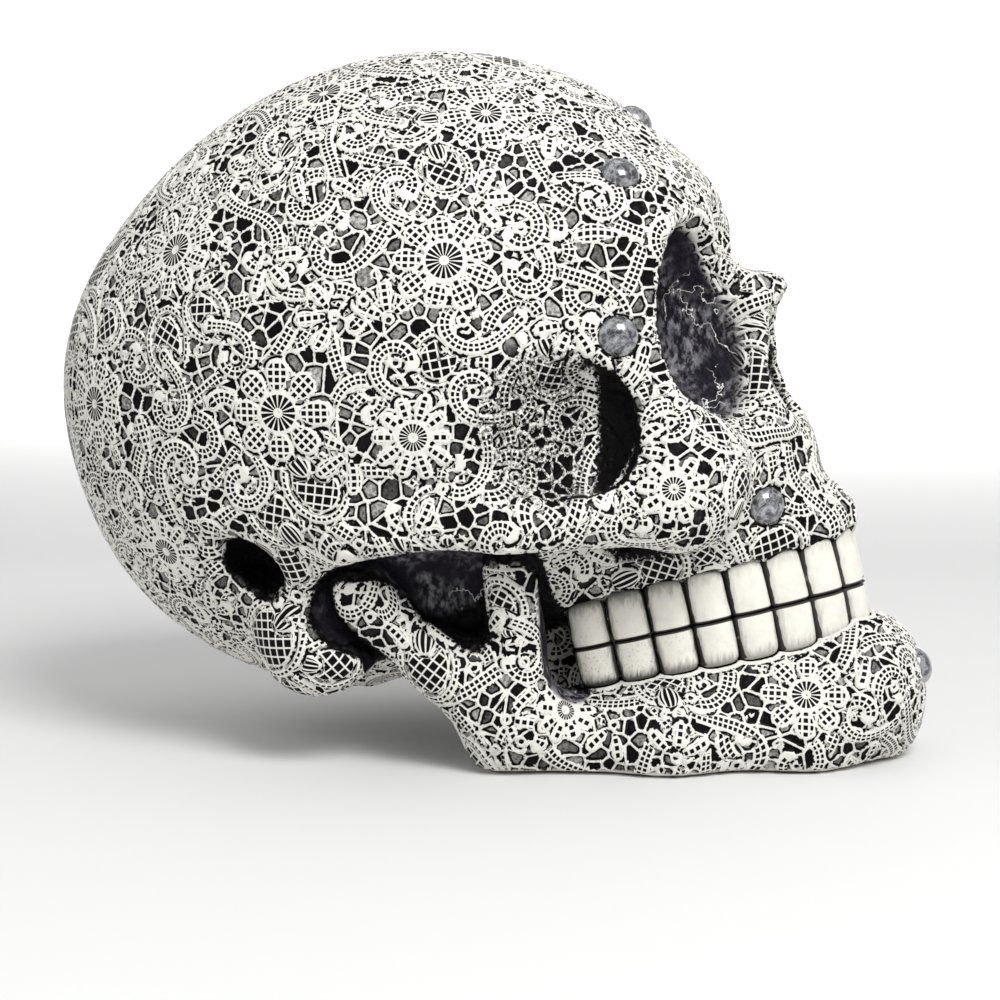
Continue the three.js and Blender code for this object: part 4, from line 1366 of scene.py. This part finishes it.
def trim_at_teeth(lace, from_teeth, form):
    """A dark line round the upper teeth, and a ridge round the lower ones"""
    work = lace.work
    above = (lace.points - form.arch_start) @ form.arch_up > 0
    beside = (from_teeth < 2 * work.tooth_rim) & ~above
    lace.keep_clear(np.where(above, 2 * work.moat, 3 * work.moat) - from_teeth)
    ridge = np.abs(from_teeth - work.tooth_rim) - work.tooth_rim / 2
    lace.strand = np.where(beside, ridge, lace.strand)


def relief_height(lace, work):
    """Rounded lace over a ground that swells a little in wide cells"""
    foot = np.where(lace.strand < 0, FAR, lace.net[:, 1] - work.bar_foot / 2)
    edge = np.minimum(lace.strand, foot)
    rise = 1 - np.clip(1 + edge / work.round_over, 0, 1) ** 2
    swell = swell_share * smooth_share(edge, *ground_swell)
    return work.relief * np.where(edge < 0, np.sqrt(np.clip(rise, 0, 1)), swell)


def bare_places(form, points):
    """How bare of lace the depths are, and how much painted shade darkens the small hollows: the temples,
    ear holes, nose and the dip between the brows
    """
    side = form.one_side(points)
    tools = [
        form.together(side, orbit_shares, form.sizes.bone_blend),
        *[form.shape(side, shape) for shape in hollow_shares],
    ]
    sunk = -form.uncut_cranium(points)
    cut_here = 1 - smooth_share(np.min(tools, axis=0), *hollow_rim)
    bare = cut_here * smooth_share(sunk, *bare_depth)
    # Painted shade: black just behind the temple hollow's front rim, softer farther back
    temple = form.together(side, temple_shares, form.sizes.bone_blend)
    forward = -points[:, 1] / form.sizes.length
    in_front = smooth_share(forward, *temple_shade_shares)
    black = (1 - smooth_share(temple, *hollow_rim)) * in_front
    soft_shade = temple_dark_share * (1 - in_front) * (1 - smooth_share(temple, *temple_shade_reach))
    # Painted shade: black deep in the ear holes and the nose
    ear = form.shape(side, ear_shares)
    nose = form.together(side, nose_shares, form.sizes.hollow_edge)
    for shape in (ear, nose):
        cut = 1 - smooth_share(shape, *hollow_rim)
        black = np.maximum(black, cut * smooth_share(sunk, *shade_depth))
    # Painted shade: the dip between the brows is darkened like the far eye socket behind it
    saddle = 1 - smooth_share(form.shape(side, saddle_shares), *saddle_shade_reach)
    return bare, np.maximum(black, np.maximum(soft_shade, saddle_dark_share * saddle))


def plain_places(points):
    """The plain rim round the base, without lace"""
    return 1 - smooth_share(points[:, 2], *plain_foot)


class SKULL_OT_cranium(bpy.types.Operator):
    """Make the hollow cranium with its lace"""

    bl_idname = "skull.cranium"
    bl_label = "Cranium"

    def execute(self, context):
        form = made_form(context.scene)

        def is_lining(points):
            return form.solid_cranium(points) < -form.sizes.wall / 2

        finished_bone(
            context.scene, "cranium", form.cranium, form.solid_cranium,
            cranium_box_shares, is_lining, flower_shares,
        )
        return {"FINISHED"}


class SKULL_OT_mandible(bpy.types.Operator):
    """Make the jaw with its lace"""

    bl_idname = "skull.mandible"
    bl_label = "Jaw"

    def execute(self, context):
        form = made_form(context.scene)

        def is_lining(points):
            return points[:, 2] < base_height

        finished_bone(
            context.scene, "mandible", form.jaw, form.jaw,
            jaw_box_shares, is_lining, jaw_flower_shares,
        )
        return {"FINISHED"}


class Teeth:
    """The shapes of all the teeth, in the skull's own place"""

    def __init__(self, form, sizes, seed):
        self.form = form
        self.sizes = sizes
        self.turns = np.linspace(0, 1, 2001)
        line = form.arch_point(self.turns, np.zeros(len(self.turns)), 0)
        steps = np.linalg.norm(np.diff(line, axis=0), axis=1)
        self.lengths = np.concatenate([[0], np.cumsum(steps)])
        self.cube, self.faces = rounded_cube(steps=20)
        self.seed = seed

    def each(self):
        """Each tooth's name, corners, faces and how far back it stands"""
        sizes = self.sizes
        draw = np.random.default_rng(self.seed)
        last = sizes.per_side - 1
        for row, up, front, back in (
            ("upper", 1, sizes.upper_front, sizes.upper_back),
            ("lower", -1, sizes.lower_front, sizes.lower_back),
        ):
            for side, sign in (("left", 1), ("right", -1)):
                for place in range(sizes.per_side):
                    height = front + (back - front) * place / last
                    points = self.corners(up, place, height, draw)
                    points[:, 0] *= sign
                    faces = self.faces if up * sign > 0 else self.faces[:, ::-1]
                    yield f"{row}_tooth_{side}_{place + 1}", points, faces, up, place / last

    def corners(self, up, place, height, draw):
        """A cube drawn to a tooth: crowned in front, with a root end rounder than its biting end"""
        sizes = self.sizes
        root = (self.cube[:, 2] + 1) / 2
        power = sizes.bite_square - (sizes.bite_square - sizes.root_square) * root
        reach = (np.abs(self.cube) ** power[:, None]).sum(1) ** (1 / power)
        shape = self.cube / reach[:, None]
        depth = self.cube[:, 1] / reach ** 0.6
        shape[:, :2] *= 1 + draw.uniform(-tooth_size_share, tooth_size_share, 2)
        wave = draw.uniform(1.5, 3, 2)
        swing = np.sin(wave[0] * shape[:, 2] + wave[1])
        shape[:, 0] += tooth_side_share * swing * np.abs(shape[:, 0])
        lean = draw.uniform(-tooth_lean_share, tooth_lean_share)
        width = self.lengths[-1] / sizes.per_side
        slant = lean * shape[:, 2] * (1 - np.abs(shape[:, 0]))
        along = place * width + sizes.gap / 2 + (shape[:, 0] + slant + 1) / 2 * (width - sizes.gap)
        turn = np.interp(along, self.lengths, self.turns)
        lift = up * (sizes.gap / 2 + (shape[:, 2] + 1) / 2 * (height - sizes.gap / 2))
        front = (1 - depth) / 2
        crown = sizes.crown * (1 - 2 * shape[:, 0] ** 2 - 0.6 * root ** 2)
        return self.form.arch_point(turn, lift, (depth + 1) / 2 * sizes.depth - crown * front)

    def away(self, points, reach):
        """How far points are from the nearest tooth, up to a reach"""
        sizes, form = self.form.sizes, self.form
        tallest = max(self.sizes.upper_front, self.sizes.lower_front) + reach
        near = np.abs(points[:, 0]) < sizes.arch_half_width + reach
        near &= points[:, 1] < sizes.arch_depth - sizes.arch_front + reach
        near &= np.abs((points - form.arch_start) @ form.arch_up) < tallest
        corners = np.concatenate([corner for _, corner, *_ in self.each()])
        tree = tree_of(corners)
        found = np.full(len(points), reach)
        found[near] = [min(tree.find(point)[2], reach) for point in points[near]]
        return found


class SKULL_OT_teeth(bpy.types.Operator):
    """Make the upper and lower teeth"""

    bl_idname = "skull.teeth"
    bl_label = "Teeth"

    def execute(self, context):
        scene = context.scene
        form = made_form(scene)
        finish = tooth_finish(scene.finishes)
        move = centring(form)
        teeth = Teeth(form, scene.tooth_form, scene.lace_work.seed)
        root = (teeth.cube[:, 2] + 1) / 2
        for name, points, faces, up, back_share in teeth.each():
            dirt = smooth_share(back_share, 0.4, 1.0) * 0.6
            values = {
                "edge": np.abs(teeth.cube[:, 0]), "root": root, "bite": 1 - root,
                "dirt": np.full(len(root), dirt + (0.3 if up < 0 else 0)),
            }
            mesh = mesh_of("shown_" + name, points + move, faces, values)
            show("shown_" + name, mesh, finish, "tooth_resin", name)
        return {"FINISHED"}


def rounded_cube(steps):
    """Corners of a cube with even quads, from -1 to 1, and its faces"""
    places, faces, known = [], [], {}

    def corner(key):
        if key not in known:
            known[key] = len(places)
            places.append([2 * k / steps - 1 for k in key])
        return known[key]

    for axis in range(3):
        one, two = (axis + 1) % 3, (axis + 2) % 3
        for end in (0, steps):
            for i in range(steps):
                for j in range(steps):
                    ring = []
                    for di, dj in ((0, 0), (1, 0), (1, 1), (0, 1)):
                        key = [0, 0, 0]
                        key[axis], key[one], key[two] = end, i + di, j + dj
                        ring.append(corner(tuple(key)))
                    faces.append(ring if end else ring[::-1])
    return np.array(places, float), np.array(faces)


class SKULL_OT_gems(bpy.types.Operator):
    """Make the glass gems"""

    bl_idname = "skull.gems"
    bl_label = "Gems"

    def execute(self, context):
        scene = context.scene
        form, sizes = made_form(scene), scene.gem_form
        finish = gem_finish(scene.finishes)
        move = centring(form)
        rings, sides = 12, 48
        profile = [(0, 0), (sizes.width / 2 * sizes.foot_share, 0)]
        girdle = sizes.height * sizes.girdle_share
        for ring in range(rings):
            angle = ring / rings * math.pi / 2
            rise = girdle + (sizes.height - girdle) * math.sin(angle)
            profile.append((sizes.width / 2 * math.cos(angle), rise))
        profile.append((0, sizes.height))
        for name, place, out in gem_seats(form):
            points, faces = lathed(profile, sides)
            side, up = axes_of(out)
            local = points - [0, 0, sizes.seat]
            local = local @ np.stack([side, up, out]) + place + move
            mesh = bpy.data.meshes.new("shown_" + name)
            mesh.from_pydata(local.tolist(), [], faces)
            mesh.shade_smooth()
            show("shown_" + name, mesh, finish, "gem_glass", name)
        return {"FINISHED"}


def lathed(profile, sides):
    """A profile of radius and height turned about the upright"""
    points, faces = [], []
    rows = []
    for radius, height in profile:
        if radius == 0:
            rows.append([len(points)] * sides)
            points.append((0, 0, height))
        else:
            rows.append(list(range(len(points), len(points) + sides)))
            for step in range(sides):
                angle = step / sides * 2 * math.pi
                points.append((radius * math.cos(angle), radius * math.sin(angle), height))
    for lower, upper in zip(rows, rows[1:]):
        for step in range(sides):
            after = (step + 1) % sides
            ring = [lower[step], lower[after], upper[after], upper[step]]
            faces.append(list(dict.fromkeys(ring)))
    return np.array(points), faces


class SKULL_OT_stage(bpy.types.Operator):
    """Set the floor, the lights and the camera"""

    bl_idname = "skull.stage"
    bl_label = "Stage"

    def execute(self, context):
        scene = context.scene
        setup = scene.stage_setup
        flat, rounding, bends = setup.floor_radius, setup.floor_rise, 16
        profile = [(0, 0)]
        for step in range(bends + 1):
            angle = step / bends * math.pi / 2
            profile.append((flat + rounding * math.sin(angle), rounding * (1 - math.cos(angle))))
        points, faces = lathed(profile, 96)
        mesh = bpy.data.meshes.new("floor")
        mesh.from_pydata(points.tolist(), [], faces)
        mesh.shade_smooth()
        floor = bpy.data.objects.new("floor", mesh)
        mesh.materials.append(plain_finish("floor_finish", scene.finishes.floor, 0.7))
        context.collection.objects.link(floor)

        move = centring(made_form(scene))
        target = Vector((0, 0, setup.aim_height)) + Vector(move)
        camera = bpy.data.cameras.new("camera")
        camera.angle = setup.camera_view
        holder = bpy.data.objects.new("camera", camera)
        context.collection.objects.link(holder)
        turn, rise = setup.camera_turn, setup.camera_rise
        way = Vector((math.sin(turn) * math.cos(rise), -math.cos(turn) * math.cos(rise), math.sin(rise)))
        holder.location = target + way * setup.camera_distance
        holder.rotation_euler = (-way).to_track_quat("-Z", "Y").to_euler()
        scene.camera = holder

        powers = [setup.key_power, setup.fill_power, setup.fill_power, setup.backdrop_power]
        for (name, at_shares, size_share), power in zip(lamp_shares, powers):
            lamp = bpy.data.lights.new(name, "AREA")
            lamp.energy = power
            lamp.size = size_share * setup.lamp_distance
            placed = bpy.data.objects.new(name, lamp)
            placed.location = Vector(at_shares) * setup.lamp_distance
            aim = setup.backdrop_aim if name == "backdrop_lamp" else target
            placed.rotation_euler = (Vector(aim) - placed.location).to_track_quat("-Z", "Y").to_euler()
            context.collection.objects.link(placed)
        world = bpy.data.worlds.new("studio")
        world.use_nodes = True
        background = world.node_tree.nodes["Background"]
        background.inputs["Color"].default_value = (*setup.sky_colour, 1)
        background.inputs["Strength"].default_value = setup.sky
        scene.world = world
        scene.view_settings.view_transform = "Standard"
        return {"FINISHED"}


class SKULL_PT_panel(bpy.types.Panel):
    """Lists the skull's pieces and settings"""

    bl_label = "Sugar skull"
    bl_idname = "SKULL_PT_panel"
    bl_space_type = "VIEW_3D"
    bl_region_type = "UI"
    bl_category = "Sugar skull"

    def draw(self, context):
        for piece in steps:
            self.layout.operator(piece.bl_idname)
        for group in groups:
            box = self.layout.box()
            box.label(text=group.__doc__)
            for field in group.__annotations__:
                box.prop(getattr(context.scene, groups[group]), field)


groups = {
    SkullForm: "skull_form", LaceWork: "lace_work", ToothForm: "tooth_form",
    GemForm: "gem_form", Finishes: "finishes", StageSetup: "stage_setup",
}
steps = [SKULL_OT_stage, SKULL_OT_cranium, SKULL_OT_mandible, SKULL_OT_teeth, SKULL_OT_gems]


def register():
    for kind in [*groups, *steps, SKULL_PT_panel]:
        bpy.utils.register_class(kind)
    for kind, name in groups.items():
        setattr(bpy.types.Scene, name, PointerProperty(type=kind))


def unregister():
    for name in groups.values():
        delattr(bpy.types.Scene, name)
    for kind in reversed([*groups, *steps, SKULL_PT_panel]):
        bpy.utils.unregister_class(kind)


def main():
    register()
    bpy.ops.skull.stage()
    bpy.ops.skull.cranium()
    bpy.ops.skull.mandible()
    bpy.ops.skull.teeth()
    bpy.ops.skull.gems()


if __name__ == "__main__":
    main()
